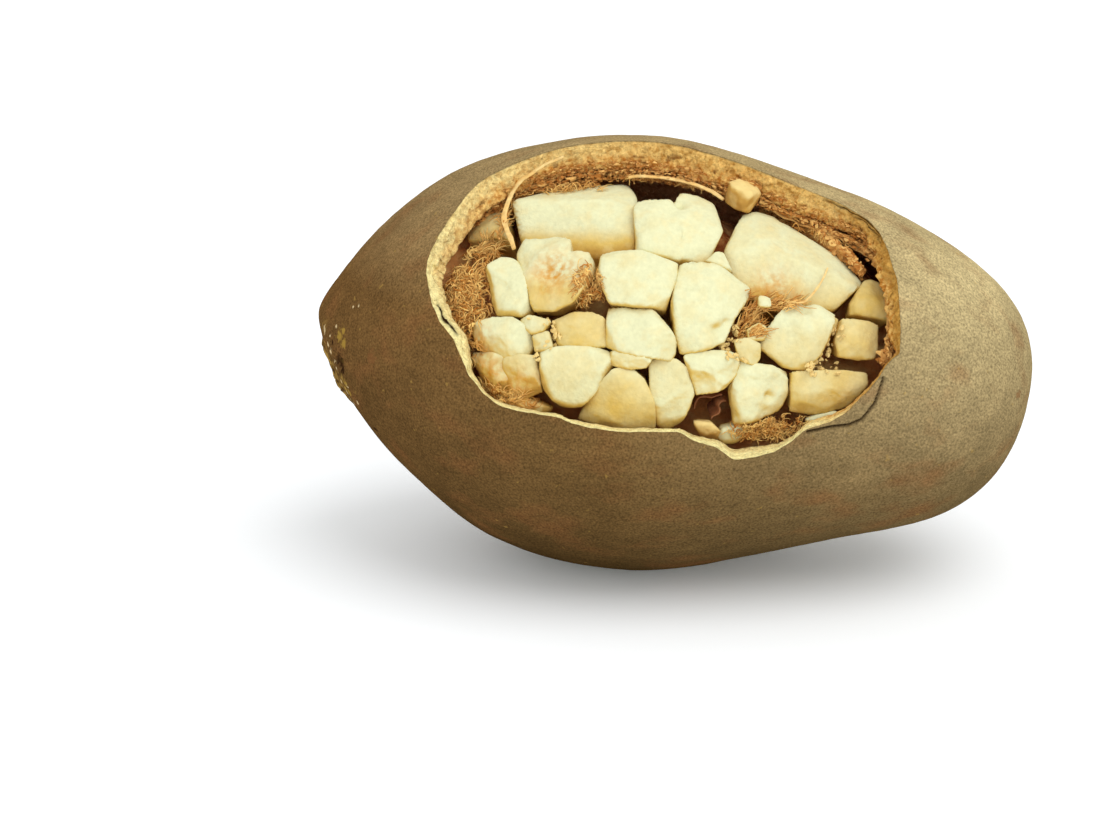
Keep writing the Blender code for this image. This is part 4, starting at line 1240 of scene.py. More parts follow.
class PulpBed:
    """The pieces of pulp and pith that show: outlines on the skin, depths, recesses and looks."""

    PIECES: tuple[tuple[str, tuple[Outline, ...], float, float], ...] = (
        ("pulp_01", (((-33.5, 76), (-26, 84.5), (-7, 88), (-4, 80), (-2.2, 51.5), (-31, 57.5)),), 14, 0),
        ("pulp_02", (((-30.5, 54.8), (-21, 54.3), (-18, 51), (-17, 40), (-26, 36), (-30.5, 47)),
         ((-28.5, 45.5), (-12.3, 46), (-12, 40), (-16, 31), (-20, 28.3), (-25, 28), (-26.8, 36))), 14, 0),
        ("pulp_03", (((-38, 44.5), (-34, 48), (-31.2, 45.7), (-28.2, 38), (-27.1, 28.5), (-28.2, 26.4),
         (-35, 26.8)),), 13, 0),
        ("pulp_04", (((-45.5, 71), (-42, 80), (-37.5, 80), (-36, 70), (-35.5, 60), (-44.5, 63.5)),), 10, 3),
        ("pulp_05", (((-2.8, 71), (7, 71.5), (9, 49.7), (-0.7, 50.8)), ((8.2, 77.5), (12.5, 79.5), (17, 75),
         (19, 68), (16.2, 50.8), (2, 50.5))), 14, 0),
        ("pulp_06", (((20.6, 55), (24, 78), (30, 80.5), (46, 71), (55.5, 61), (48.5, 42.5), (36, 40),
         (27.5, 42), (23.4, 46.5)),), 15, 0),
        ("pulp_07", (((-9, 48.3), (3, 49.3), (8.5, 47), (8.8, 42), (7, 31), (-6, 31.7), (-9.4, 39.5)),), 14,
         0),
        ("pulp_08", (((10.5, 47), (20.5, 47.4), (27, 41.3), (26.8, 39), (23.6, 29.5), (10.2, 28),
         (9.4, 33)), ((9.6, 36), (25.5, 36), (23.8, 29), (23.5, 22.5), (17.5, 18.8), (12.4, 17),
         (10.8, 22.5))), 14, 0),
        ("pulp_09", (((-6, 29.9), (5, 28.4), (7.3, 25.5), (10, 20), (10.2, 16.5), (9.3, 14.8),
         (-5.7, 17.2)),), 14, 0),
        ("pulp_10", (((-19.2, 24), (-15.5, 26.2), (-10.5, 26.5), (-7.3, 25), (-6.8, 18), (-17.3, 16.8)),),
         11, 2),
        ("pulp_11", (((-40, 21.5), (-35.5, 24.3), (-30.5, 24.4), (-26.5, 21.3), (-25.2, 17), (-26, 13),
         (-33, 11.6), (-38.5, 14)),), 13, 0),
        ("pulp_12", (((-22.5, 13.3), (-18.5, 15.2), (-9.5, 16.6), (-5.8, 15.4), (-4.9, 11), (-7.6, 5),
         (-11.8, -1.3), (-16, -2), (-21, 2.5)),), 13, 0),
        ("pulp_13", (((-3.8, 9.6), (-0.5, 10.6), (3, 7.5), (5.6, 0.7), (6.2, -7.3), (-2, -8.3), (-12, -6.8),
         (-8.5, 3)),), 13, 0),
        ("pulp_14", (((5, 13.3), (7.5, 14.6), (11.2, 13.8), (14.3, 10), (15, 4), (12.7, -5), (10.5, -7.3),
         (8, -7.3), (5.8, 2.5)),), 13, 0),
        ("pulp_15", (((-4.6, 15.3), (-1, 15), (4.0, 13.8), (3.3, 12.5), (-0.5, 11.9), (-4, 12.3)),), 9, 0),
        ("pulp_16", (((13.6, 15.5), (15.5, 17.1), (24.3, 17.3), (25.3, 14.5), (24.8, 9.5), (23, 6.9),
         (16.6, 4.4), (15.7, 8)),), 12, 0),
        ("pulp_17", (((25.4, 21.8), (28.5, 22.8), (30.1, 21.3), (30.4, 17), (29.6, 15.4), (26.6, 16.5)),),
         9, 0),
        ("pulp_18", (((27, 15), (31, 14.3), (38, 12.2), (38.2, 3), (36.3, -2.5), (31, -5), (26.3, -5.4),
         (24.9, 4.8), (25.9, 10.8)),), 13, 0),
        ("pulp_19", (((37.3, 37.8), (44, 38.8), (47.4, 36), (46.8, 30), (45, 20.5), (42, 14.3),
         (37.5, 15.2), (31.6, 22), (32.2, 26.5)),), 14, 0),
        ("pulp_20", (((50.4, 35), (55, 35.8), (59.6, 35.6), (59.4, 28), (58.8, 22.8), (55, 20.8),
         (50.6, 21.2), (49.7, 27)),), 12, 1),
        ("pulp_21", (((56, 58), (60.5, 57), (62.3, 49), (61.8, 42.2), (53.2, 41.2), (53, 46)),), 10, 2),
        ("pulp_22", (((39.7, 12), (43, 12.4), (52, 13.6), (57, 13.3), (56.8, 9.5), (53, 0.4), (44, -3.2),
         (39.9, -2.4)),), 12, 0),
        ("pulp_23", (((-31, 11.2), (-24.6, 11.5), (-23.4, 7), (-22.2, 0.5), (-26, -1.8), (-30.8, -0.4)),),
         10, 0),
        ("pulp_24", (((-40, 11), (-34, 11), (-31.3, 10), (-31, 1.3), (-33.5, -0.4), (-37.3, 4.6)),), 9, 0),
        ("pulp_25", (((-31, -1), (-26.5, -2.6), (-21.5, -1), (-19.5, -3.6), (-20.5, -5.8), (-27.5, -5.8),
         (-30.5, -4.2)),), 6, 0),
        ("crumb_01", (((16.8, 50), (18.6, 53), (19.8, 53), (21.8, 48.3)),), 6, 0),
        ("crumb_02", (((-27.6, 24.2), (-25.5, 25), (-21.3, 23.8), (-22.5, 21.6), (-24.8, 20.6)),), 6, 0),
        ("crumb_03", (((-24, 18.8), (-21.2, 19.8), (-20.2, 16), (-23.5, 14.9)),), 7, 0),
        ("crumb_04", (((44, -6.8), (46.7, -5.2), (49.8, -4.2), (50.4, -5.4), (49.4, -7.2), (46.2, -8)),),
         2.4, -0.8),
        ("crumb_05", (((22.8, -11.2), (23.6, -9), (26, -8.4), (27.6, -8.9), (28, -10.6), (26.8, -12.8),
         (23.8, -13)),), 4, 0),
        ("crumb_06", (((30.2, 38.8), (31.8, 38.8), (32, 36.8), (30.3, 36.6)),), 2, -3),
        ("crumb_07", (((28.3, 26.5), (30.3, 28.3), (31.6, 27), (31.2, 24.4), (28.6, 24.2)),), 6, 0),
        ("crumb_08", (((47.9, 35), (49, 35.2), (48.8, 31), (48.2, 30.5)),), 6, 3),
        ("pith_lump", (((19.5, 92), (22, 94.5), (25.6, 93), (26.0, 86), (24.2, 81), (20.6, 83.5)),), 4, -4),
        ("pith_bit", (((17, -6.5), (20, -7), (22, -10), (21.5, -12), (18.5, -10.5)),), 4, 0),
    )
    SLANTED = {
        "pulp_01": ((0.05, 0.2, 2.2), (-0.1, -0.75, 3.6), (0.3, 0.1, 4.0)),
        "pulp_06": ((0.08, 0.25, 2.6), (-0.05, -0.6, 2.2), (-0.35, 0.1, 5.0)),
    }
    # orange-brown stains; on pulp_02 and pulp_06 also painted shade in a hollow and on the lower part
    STAINS = {
        "pulp_02": (-20.5, 40, 5.5), "pulp_25": (-27, -4, 8), "pulp_24": (-36, 4, 6),
        "pulp_23": (-27, 1, 5), "pulp_11": (-38, 15, 4), "pulp_06": (34, 42, 6),
    }
    # golden tone and painted shade over whole pieces, mostly the low and recessed ones
    GOLDEN_TONE_AND_SHADE = {
        "pulp_04": 0.42, "pulp_10": 0.45, "pulp_20": 0.38, "pulp_21": 0.5, "pulp_22": 0.36, "pulp_23": 0.24,
        "pulp_24": 0.25, "pulp_25": 0.5, "pulp_17": 0.2, "crumb_07": 0.35, "crumb_08": 0.4, "crumb_02": 0.15,
        "crumb_03": 0.15, "pulp_06": 0.06, "pulp_13": 0.1, "pulp_14": 0.08, "pulp_11": 0.05, "pulp_15": 0.15,
        "pulp_02": 0.04,
    }
    DENTS = {
        "pulp_02": ((-20.5, 40, 4.0, 1.8), (-25, 50, 2.0, 0.8)),
        "pulp_18": ((34.1, 3.1, 1.3, 1.6), (29, 9, 3.0, 0.9), (33, -2, 2.0, 0.8)),
        "pulp_05": ((7.8, 72.5, 1.4, 2.6), (8.6, 70, 1.2, 0.8)),
        "pulp_19": ((41, 37.5, 1.6, 1.4), (39, 26, 4.0, 0.7)),
        "pulp_08": ((20.5, 24, 2.6, 1.9), (22, 33, 3.0, 0.6), (23, 28, 1.6, 1.0)),
        "pulp_03": ((-32.5, 36, 2.4, 0.8), (-30, 31, 1.5, 0.6)),
        "pulp_16": ((20, 11, 3.0, 0.7),),
        "pith_lump": (
            (22, 90, 1.2, 0.6), (25.5, 90.5, 0.9, 0.7), (24.3, 86.5, 1.3, 0.8), (21.5, 86, 0.8, 0.6),
        ),
    }
    # painted shade on the lower part of some pieces
    SHADE_BELOW = {
        "pulp_01": (54.0, 39.0, 1.0), "pulp_06": (56.0, 32.0, 0.8), "pulp_02": (44.0, 33.0, 0.45),
        "pulp_12": (22.0, 8.0, 0.12), "pulp_13": (16.0, 2.0, 0.5), "pulp_19": (36.0, 18.0, 0.25),
    }
    BLUNT = {"crumb_06": 4.0, "pulp_01": 30.0, "pith_lump": 30.0}
    RUGGED = {
        "pulp_01": 0.2, "pulp_06": 0.2, "pulp_02": 0.75, "pulp_18": 0.8, "pulp_19": 0.55, "pith_lump": 1.5,
        "pulp_16": 0.6, "pulp_22": 0.25, "pulp_23": 0.8, "pulp_24": 0.8, "pulp_25": 0.8,
    }
    OWN = {
        "slanted": SLANTED, "stain": STAINS, "golden": GOLDEN_TONE_AND_SHADE, "dents": DENTS, "graded": SHADE_BELOW,
        "sharpness": BLUNT, "roughness": RUGGED, "columns": {"pith_lump": 96}, "rows": {"pith_lump": 52},
        "inset": {"pith_lump": 7.0}, "chips": {"pulp_01": 5, "pulp_06": 5},
    }
    SMALL = {"columns": 40, "rows": 22, "roughness": 0.3, "sharpness": 18.0}

    def __init__(self, form: PodForm) -> None:
        """All pieces, built from their outlines.

        Args:
            form: the pod that they lie in.
        """
        self.form = form
        self.chunks = [self.chunk(*entry) for entry in self.PIECES]

    def chunk(self, name: str, outlines: tuple[Outline, ...], depth: float, recess: float) -> Chunk:
        """One piece, with a grid and a roughness that suit its size and with its own looks."""
        looks = dict(self.SMALL) if not name.startswith("pulp") else {}
        looks |= {key: table[name] for key, table in self.OWN.items() if name in table}
        finish = "tan" if name.startswith("pith") else "pulp"
        return Chunk(self.form, name, outlines, depth, recess, finish, **looks)

    def clear(self, points: Array, away: Array, gap: float) -> Array:
        """Points lifted in steps until each stands a gap clear of every piece.

        Args:
            points: places, the last axis x, y, z.
            away: the direction in which each is lifted.
            gap: clearance in millimetres.
        Returns:
            The lifted places.
        """
        for _ in range(24):
            depth = np.max([chunk.inside(points) for chunk in self.chunks], axis=0)
            held = depth > -gap
            if not held.any():
                break
            points = points + away * (0.45 * held)[..., None]
        return points


@dataclass
class Heap:
    """The pulp below the visible pieces: one heap of lumps that sinks away under the mouth."""

    form: PodForm
    gap: float = 1.0
    sink: float = 16.5
    columns: int = 150
    rows: int = 90
    lump_mm: float = 9.0
    pit_place: tuple[float, float] = (20.0, -2.0)
    pit_depth: float = 9.0
    pit_width: float = 9.0
    shallow: float = 0.42
    lumps: float = 1.6
    grit: float = 0.8
    least_sink: float = 0.5
    filled: float = 0.98
    sunk_stations: Span = (-56, -36, 60, 74)
    sunk_turns: Span = (-34, -15, 112, 150)
    shallow_turns: Span = (52, 78)
    stained_turns: Span = (60, 76)

    def build(self) -> Surface:
        """Rings along the axis: the cavity's radius less a soft sink and rounded lumps."""
        form = self.form
        share = -np.cos((between(self.rows) * math.pi)[:, None]) + np.zeros((1, self.columns))
        turn = (np.arange(self.columns) / self.columns * 360 - 180)[None] + np.zeros((self.rows, 1))
        nose = form.nose_length - form.wall - self.gap
        station = np.where(share > 0, share * nose, share * (form.cavity_stem - 2 * self.gap))
        ends = eased(station, *self.sunk_stations[:2]) * (1 - eased(station, *self.sunk_stations[2:]))
        sides = eased(turn, *self.sunk_turns[:2]) * (1 - eased(turn, *self.sunk_turns[2:]))
        full = (form.cavity_radius(station) - self.gap) * self.filled
        place = form.round_axis(station, turn, full)
        lumps = 1 - np.abs(Grain.value(place, self.lump_mm, 3)) * 2
        grit = Grain.fractal(place, 3.0, 3, 8)
        pit_centre = form.round_axis(*self.pit_place, form.radius(self.pit_place[0]) - 8)
        pit = np.linalg.norm(place - pit_centre, axis=-1) / self.pit_width
        deep = self.sink * (1 - self.shallow * eased(turn, *self.shallow_turns))
        deep = deep + self.pit_depth * np.exp(-(pit**2))
        sunk = ends * sides * (deep + self.least_sink + self.lumps * lumps + self.grit * grit)
        rings = form.lining(station, turn, np.maximum(full - sunk, full * 0.1), self.gap)
        tips = [rings[side].mean(0) for side in (0, -1)]
        marks = {"side": 0.5 + 0.5 * np.clip(lumps, -1, 1), "stain": 1.2 * eased(turn, *self.stained_turns)}
        return Surface(rings[None], tips[0][None], tips[1][None], {k: v[None] for k, v in marks.items()})


@dataclass
class Strands:
    """Thin round bodies that follow paths, all in one surface."""

    sides: int = 4

    def sweep(self, paths: Array, radii: Array, facing: Array, tone: Array) -> Surface:
        """A polygon carried along each path, across the path's tangent.

        Args:
            paths: points, (strands, steps, 3).
            radii: half widths along and across the facing direction, (strands, steps, 2).
            facing: the direction that a strand's flat side faces, (strands, steps, 3).
            tone: one number for each strand.
        Returns:
            One body for each strand.
        """
        tangent = unit(np.gradient(paths, axis=1))
        across = unit(np.cross(tangent, facing))
        normal = np.cross(across, tangent)
        angle = np.arange(self.sides) / self.sides * math.tau
        wide = radii[..., 0][..., None, None] * across[:, :, None] * np.cos(angle)[:, None]
        thick = radii[..., 1][..., None, None] * normal[:, :, None] * np.sin(angle)[:, None]
        rings = paths[:, :, None] + wide + thick
        marks = {"tone": np.broadcast_to(tone[:, None, None], rings.shape[:3])}
        return Surface(rings, paths[:, 0], paths[:, -1], marks)


@dataclass
class FibreMat:
    """A mat of dry fibres that spring from one place and curl over the pulp."""

    form: PodForm
    bed: PulpBed
    name: str
    place: tuple[float, float, float]
    halves: tuple[float, float]
    count: int
    length: float
    lean: float
    spread: float
    curl: float = 0.8
    radius: float = 0.14
    steps: int = 9
    height: float = 2.2
    tuft: int = 6
    clearance: float = 0.25
    finish: str = "fibre"
    slot: Slot = Slot.FIBRE

    def build(self) -> Surface:
        """Paths that turn by a random amount at each step, and rise and fall over the pulp."""
        rng = np.random.default_rng(sum(self.name.encode()))
        station, turn, inset = self.place
        scale = math.degrees(1 / float(self.form.radius(station) - inset))
        shape = (self.count, self.steps)
        tuft = np.arange(self.count) // self.tuft
        tufts = tuft[-1] + 1
        start = (rng.normal(0, 0.45, (tufts, 2)) * self.halves)[tuft]
        start = start + rng.normal(0, 0.35, (self.count, 2))
        reach = self.length * rng.uniform(0.35, 1.1, (self.count, 1)) / self.steps
        lean = self.lean + rng.uniform(-self.spread, self.spread, (tufts, 1))[tuft]
        heading = np.radians(lean + rng.normal(0, 16, (self.count, 1)))
        bend = (rng.normal(0, 1, (tufts, 1))[tuft] + rng.normal(0, 0.3, (self.count, 1))) * 2.2
        bend = bend + rng.normal(0, 1, shape) * 1.4
        heading = heading + np.cumsum(bend * self.curl / self.steps, 1)
        stations = station + start[:, :1] + np.cumsum(np.cos(heading) * reach, 1)
        turns = turn + (start[:, 1:] + np.cumsum(np.sin(heading) * reach, 1)) * scale
        wave = np.sin(np.linspace(0, math.pi, self.steps) * rng.uniform(0.5, 1.6, (self.count, 1)))
        insets = inset + 1.6 - rng.uniform(0, self.height, (self.count, 1)) * (0.35 + 0.65 * wave)
        away = self.form.outwards(stations, turns)
        paths = self.bed.clear(self.form.skin(stations, turns, insets), away, self.clearance)
        taper = 1 - 0.7 * np.linspace(0, 1, self.steps) ** 2
        width = self.radius * rng.uniform(0.6, 1.5, (self.count, 1)) * taper
        radii = np.stack([width, width * 0.7], -1)
        tone = rng.uniform(0, 1, tufts)[tuft] * 0.7 + rng.uniform(0, 0.3, self.count)
        return Strands().sweep(paths, radii, away, tone)


@dataclass
class Membrane:
    """A strip of papery membrane along its route, its edges torn and its surface crumpled."""

    form: PodForm
    bed: PulpBed
    name: str
    width: float
    thick: float
    ripple: float
    route: Route
    finish: str
    slot: Slot = Slot.MEMBRANE
    clearance: float = 0.4
    steps: int = 90
    sides: int = 20

    def build(self) -> Surface:
        """A flattened tube whose width wanders, turned inwards where it is a fold of a septum."""
        share = np.linspace(0, 1, self.steps)
        place = on_route(self.route, share)
        away = self.form.outwards(place[:, 0], place[:, 1])
        middle = self.form.skin(place[:, 0], place[:, 1], place[:, 2])
        run = unit(np.gradient(middle, axis=0))
        folds = self.name.startswith(("septum_fold", "lining_ledge"))
        across = -away if folds else unit(np.cross(away, run))
        normal = unit(np.cross(run, across))
        seed = sum(self.name.encode())
        narrow = (1 - 0.35 * np.abs(2 * share - 1) ** 3) * (1 + 0.28 * Grain.fractal(middle, 3.0, 3, seed))
        half = self.width * narrow / 2
        if folds:
            middle = middle + across * half[:, None]
        else:
            middle = self.bed.clear(middle, away, self.clearance + self.thick / 2)
        angle = (np.arange(self.sides) / self.sides * math.tau)[None, :, None]
        ring = middle[:, None] + across[:, None] * half[:, None, None] * np.cos(angle)
        flattened = np.sign(np.sin(angle)) * np.abs(np.sin(angle)) ** 0.6
        ring = ring + normal[:, None] * (self.thick / 2 * 0.75) * flattened
        wave = 0.4 * np.sin(9 * share + seed)[:, None]
        crumple = self.ripple * (Grain.fractal(ring, 4.0, 3, seed + 3) + wave)
        ring = ring + normal[:, None] * crumple[..., None]
        tone = np.clip(0.5 + 0.6 * Grain.fractal(ring, 2.5, 3, seed + 7), 0, 1)
        return Surface(ring[None], middle[:1], middle[-1:], {"tone": tone[None]})


@dataclass
class LiningFlakes:
    """Thin splintered flakes of the torn lining that hang on under the broken edge."""

    form: PodForm
    bed: PulpBed
    name: str
    route: Route
    count: int
    band: float
    size: tuple[float, float]
    finish: str = "flake"
    flat: float = 0.3
    clearance: float = 0.3
    columns: int = 6
    rows: int = 3

    @property
    def slot(self) -> Slot:
        """Pulp where the crumbs have the pulp's tan, membrane where they are torn lining."""
        return Slot.PULP if self.finish == "tan" else Slot.MEMBRANE

    def build(self) -> Surface:
        """Small splinters scattered along a route, fewer with depth and darker there as painted shade, tilted
        at random.
        """
        rng = np.random.default_rng(sum(self.name.encode()))
        share = np.sort(rng.uniform(0, 1, self.count))
        place = on_route(self.route, share)
        across = rng.normal(0, 0.7, self.count)
        inset = place[:, 2] + rng.uniform(0, 1, self.count) ** 1.5 * self.band
        away = self.form.outwards(place[:, 0], place[:, 1])
        run = unit(np.gradient(self.form.skin(place[:, 0], place[:, 1], place[:, 2]), axis=0))
        side = np.cross(away, run)
        centre = self.form.skin(place[:, 0], place[:, 1], inset) + side * across[:, None]
        centre = self.bed.clear(centre, away, self.clearance)
        length = rng.uniform(*self.size, self.count)
        turn = rng.normal(0, 0.8, self.count)[:, None]
        long = run * np.cos(turn) + side * np.sin(turn)
        wide = unit(np.cross(away + rng.normal(0, 1.2, away.shape), long))
        high = np.cross(long, wide)
        ball = np.roll(ball_grid(self.rows, self.columns), 1, -1)
        axes = np.stack([long * length[:, None], wide * length[:, None] * 0.6,
                         high * length[:, None] * self.flat], 1)
        spread = np.einsum("rca,nax->nrcx", ball, axes)
        lumpy = rng.uniform(0.45, 1.35, spread.shape[:3])
        rings = centre[:, None, None] + spread * lumpy[..., None]
        # painted shade: flakes deeper in the band are darker
        tone = rng.uniform(0, 1, self.count) ** 1.4 * (1 - 0.7 * (inset - place[:, 2]) / self.band)
        tone = np.broadcast_to(tone[:, None, None], rings.shape[:3])
        return Surface(rings, centre + axes[:, 0], centre - axes[:, 0], {"tone": tone})


@dataclass(frozen=True)
class Studio:
    """Camera at the pod's viewing angle, a pale floor and soft light from the upper right."""

    form: PodForm
    image_px: tuple[int, int] = (1100, 829)
    axis_px: tuple[float, float] = (645.0, 353.5)
    scale_mm: float = 0.26
    azimuth: float = 7.0
    elevation: float = 17.0
    lens: float = 90.0
    sensor: float = 36.0
    distance_mm: float = 715.0
    floor_half: float = 6.0
    floor_colour: str = "#f4f6f8"
    glow_colour: str = "#f4faf4"
    table_glow: float = 0.12
    sky: float = 0.82
    lights: tuple[tuple, ...] = (
        ("key", (0.42, -0.26, 0.87), 50.0, 1.2),
        ("front", (-0.05, -1.0, 0.35), 60.0, 0.55),
    )

    def camera(self) -> None:
        """Camera that sees the pod's belly centre at axis_px, scale_mm to a pixel there."""
        turn, rise = math.radians(self.azimuth), math.radians(self.elevation)
        back = np.array([math.sin(turn) * math.cos(rise), -math.cos(turn) * math.cos(rise), math.sin(rise)])
        right = np.array([math.cos(turn), math.sin(turn), 0.0])
        up = np.cross(back, right)
        shift = (np.array(self.axis_px) - np.array(self.image_px) / 2) * self.scale_mm
        target = np.array(self.form.axis_place) - right * shift[0] + up * shift[1]
        place = (target + back * self.distance_mm) * MM
        data = bpy.data.cameras.new("camera")
        data.lens, data.sensor_width, data.clip_end = self.lens, self.sensor, 50.0
        made = bpy.data.objects.new("camera", data)
        made.matrix_world = Matrix([(right[i], up[i], back[i], place[i]) for i in range(3)] + [(0, 0, 0, 1)])
        bpy.context.scene.collection.objects.link(made)
        bpy.context.scene.camera = made

    def light(self, name: str, source: tuple[float, float, float], angle: float, strength: float) -> None:
        """Far soft light, even over the floor.

        Args:
            name: name of the light.
            source: direction that it comes from.
            angle: width of the light in degrees, which softens its shadows.
            strength: irradiance in watts a square metre.
        """
        data = bpy.data.lights.new(name, "SUN")
        data.angle, data.energy = math.radians(angle), strength
        lamp = bpy.data.objects.new(name, data)
        lamp.rotation_euler = Vector(source).to_track_quat("Z", "Y").to_euler()
        bpy.context.scene.collection.objects.link(lamp)

    def floor(self) -> None:
        """Wide pale floor, a translucent table lit a little from below, which stays out of the object."""
        half = self.floor_half
        corners = [(-half, -half, 0), (half, -half, 0), (half, half, 0), (-half, half, 0)]
        mesh = bpy.data.meshes.new("floor")
        mesh.from_pydata(corners, [], [(0, 1, 2, 3)])
        paper = Palette("pale_studio_floor", 0.6)
        paper.shader.inputs["Base Color"].default_value = linear(self.floor_colour)
        paper.shader.inputs["Emission Color"].default_value = linear(self.glow_colour)
        paper.shader.inputs["Emission Strength"].default_value = self.table_glow
        mesh.materials.append(paper.material)
        made = bpy.data.objects.new("floor", mesh)
        bpy.context.scene.collection.objects.link(made)

    def build(self) -> None:
        """Camera, floor, lights, white surroundings and a plain view transform."""
        self.camera()
        self.floor()
        for entry in self.lights:
            self.light(*entry)
        scene = bpy.context.scene
        world = bpy.data.worlds.new("white_surroundings")
        world.use_nodes = True
        world.node_tree.nodes["Background"].inputs["Color"].default_value = (1, 1, 1, 1)
        world.node_tree.nodes["Background"].inputs["Strength"].default_value = self.sky
        scene.world = world
        scene.view_settings.view_transform = "Standard"


# name, place, halves of the patch, count, length, lean, spread, curl and radius
FIBRES = (
    ("fibres_left", (-43.6, 35, 12.2), (6.4, 10.0), 900, 5.5, 60, 180, 1.3, 0.2),
    ("fibres_top_left", (-42.0, 56.5, 13.4), (5.0, 2.0), 200, 7.0, 10, 35, 0.5),
    ("fibres_middle", (-11.2, 35, 13.0), (1.4, 4.6), 190, 5.0, 120, 70, 1.2),
    ("fibres_right", (27.2, 30.0, 12.8), (3.0, 4.8), 320, 5.0, 44, 12, 0.2, 0.13),
    ("fibres_low_right", (33.5, -9.2, 9.8), (8.5, 2.8), 700, 3.0, 10, 180, 1.0, 0.12),
    ("fibres_low_left", (-33.5, -2.2, 10.2), (6.5, 1.5), 330, 4.5, 160, 180, 1.0),
)
# name, width, thickness, ripple, route and finish
SHEETS = (
    ("septum_strand", 1.4, 0.8, 0.35, ((-22.2, 79.8, 0.9), (-27.3, 80.3, 2.5), (-30.5, 78.8, 3.6),
     (-33, 77, 4.5), (-35.2, 74, 7.5), (-35.9, 67, 9.4), (-34.6, 60, 9.8), (-33, 54.6, 9.6),
     (-31.8, 49.9, 9.4)), "strand"),
    ("septum_strip", 1.7, 0.9, 0.2, ((-6, 84.6, 8.9), (-3.4, 85.0, 8.5), (2.9, 85.8, 8.4), (9.4, 84.8, 8.4),
     (15.3, 82.2, 8.5), (18.5, 79.5, 8.8)), "strand"),
    ("septum_fold_left", 9.0, 0.9, 0.6, ((15.8, -3, 15), (17.2, 1, 14.2), (20, 2.4, 14), (22.4, 2.4, 14.2)),
     "void_membrane"),
    ("septum_fold_right", 8.0, 0.9, 0.6, ((20.4, -6.4, 13.4), (21.6, -4, 13.6), (21.8, -1.6, 14.4),
     (23.4, 0, 15)), "void_membrane"),
    ("wall_flake_upper", 5.0, 1.0, 0.8, ((31, 85.5, 9.1), (40, 83.5, 9.2), (49, 79.5, 9.2),
     (57, 74.5, 9.2)), "flake"),
    ("wall_flake_lower", 4.0, 1.0, 0.7, ((60.3, 66, 9.2), (62, 56, 9.2), (62.8, 46, 9.2), (62.6, 36, 9.2)),
     "flake"),
)
# name, route, count, depth of the band, sizes, finish and flatness
FLAKES = (
    ("gap_crumbs_right", ((49, 33, 13), (48, 27, 13), (46.5, 19, 12.5), (42, 13.8, 12.5), (50, 15.5, 12.5)),
     60, 3.0, (0.3, 0.9), "tan", 0.8),
    ("gap_crumbs_middle", ((24.5, 29, 13), (25, 24, 12.5), (22, 18.5, 12.5), (29, 15, 12.5)), 50, 3.0,
     (0.3, 0.9), "tan", 0.8),
    ("gap_crumbs_left", ((-26, 26, 13), (-20, 24, 13), (-19.5, 17, 12.5), (-24, 12.5, 12.5)), 40, 3.0,
     (0.3, 0.8), "tan", 0.8),
    ("lining_crumbs_right", ((24, 85, 7.4), (36, 82.2, 7.4), (48, 78.4, 7.4), (57, 71.5, 7.4),
     (60.5, 60, 7.4)), 600, 1.6, (0.3, 1.1)),
    ("lining_crumbs_ledge", ((28, 90, 9.2), (33, 89, 9.0), (37.8, 86.5, 8.8), (44.5, 78, 8.8),
     (49.8, 70, 9.0), (54, 63, 9.6)), 700, 5.0, (0.4, 1.5)),
    ("lining_crumbs_rim", ((-40, 77.0, 5.2), (-35, 78.8, 5.2), (-24.5, 84.2, 5.2), (-16, 86.2, 5.2),
     (-4.5, 88.2, 5.2), (6.5, 87.7, 5.2), (21.5, 85.7, 5.0), (35, 82.2, 4.6), (47, 79.7, 4.4),
     (55, 74.7, 4.4), (58, 69.5, 4.6), (62.0, 55, 5.0)), 1500, 2.6, (0.2, 0.7)),
    ("lining_crumbs_top", ((-42, 76, 7.4), (-36, 79.5, 7.4), (-26, 84, 7.4), (-10, 87.4, 7.4), (6, 88, 7.4),
     (22, 86, 7.4)), 1200, 3.0, (0.25, 0.9)),
    ("lining_crumbs_left", ((-44, 72, 7.6), (-38, 78, 7.6), (-28, 83, 8.0), (-14, 86.5, 8.0)), 600, 8.0,
     (0.3, 1.2)),
    ("lining_crumbs_side", ((62.5, 54, 7.6), (63, 42, 7.6), (62.8, 30, 7.6), (61, 20, 7.6)), 400, 4.5,
     (0.3, 1.2)),
)
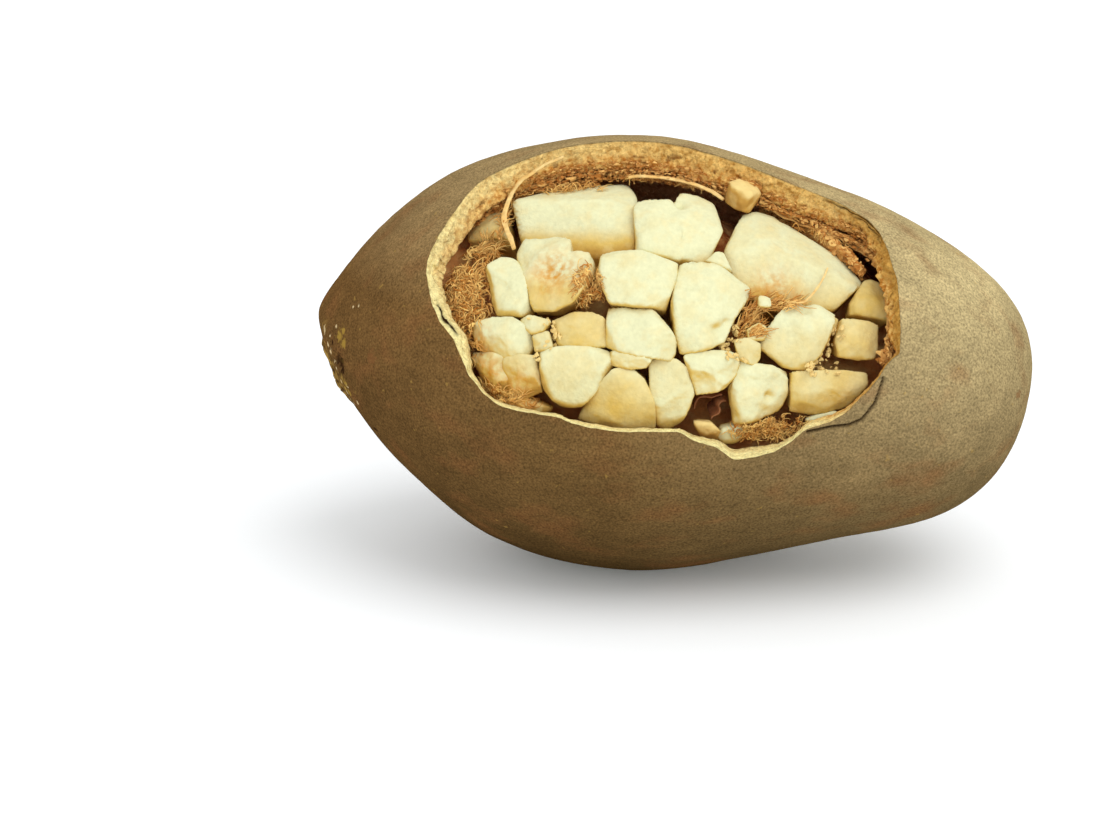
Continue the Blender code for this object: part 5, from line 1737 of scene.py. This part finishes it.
# like SHEETS and FIBRES, for pieces that are too fine for the frame
LEDGES = (
    ("pulp_strand", 0.55, 0.4, 0.1, ((36, 37.5, 10.5), (40.1, 38.3, 9.6), (41.6, 41, 9.4),
     (42.8, 43.6, 9.2), (44.3, 48.5, 9.2), (45.3, 53.3, 9.3), (45.8, 57.4, 9.6)), "strand"),
    ("lining_ledge", 4.4, 1.6, 1.0, ((28, 91, 9.2), (33, 90, 9.0), (37.8, 87.5, 8.8), (44.5, 79, 8.8),
     (49.8, 71, 9.0), (54, 64, 9.6)), "flake"),
)
LINING_FIBRES = (
    ("septum_fibres_left", (-36.0, 64, 9.8), (0.6, 9.0), 70, 4.5, 95, 22, 0.5, 0.16),
    ("septum_fibres_right", (33.5, 37.6, 11.6), (6.0, 2.2), 170, 5.5, 26, 10, 0.2, 0.12),
    ("lining_fibres_left", (-29, 82, 9.4), (15, 1.4), 260, 5.0, 10, 60, 1.0),
    ("lining_fibres_top", (0, 87.6, 8.4), (18, 0.8), 200, 3.6, 0, 60, 1.0),
    ("lining_fibres_right", (45, 79, 9.0), (11, 1.4), 160, 4.0, -30, 60, 1.0),
    ("lining_fibres_low", (-43.2, 15.5, 10.2), (2.0, 8.0), 360, 4.5, 110, 70, 1.1),
)

# what is laid over the pulp, in this order; a suffix marks the pieces that stand for nodes of the frame
LAYERS = (
    (FibreMat, FIBRES, "_mat"), (Membrane, SHEETS, "_strip"), (LiningFlakes, FLAKES, ""),
    (Membrane, LEDGES, ""), (FibreMat, LINING_FIBRES, ""),
)


def main() -> None:
    """Dress the frame: studio, shell, pulp, fibres and membranes, in that order."""
    logging.basicConfig(level=logging.INFO, format="%(name)s %(message)s")
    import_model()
    form = PodForm()
    Studio(form).build()
    finish = new_finishes(form)
    mounted(Shell(form).build().build("rind", form), Slot.SHELL, finish["shell"], "shell")
    bed = PulpBed(form)
    for chunk in bed.chunks:
        piece = chunk.build().build(chunk.name + "_block", form)
        slot = Slot.MEMBRANE if chunk.name.startswith("pith") else Slot.PULP
        mounted(piece, slot, finish[chunk.finish], chunk.name)
    mounted(Heap(form).build().build("pulp_bed", form), Slot.PULP, finish["bed"], "pulp_heap")
    for kind, table, suffix in LAYERS:
        for entry in table:
            part = kind(form, bed, *entry)
            nodes = (part.name,) if suffix else ()
            piece = part.build().build(part.name + suffix, form, kind is not LiningFlakes)
            mounted(piece, part.slot, finish[part.finish], *nodes)


if __name__ == "__main__":
    main()
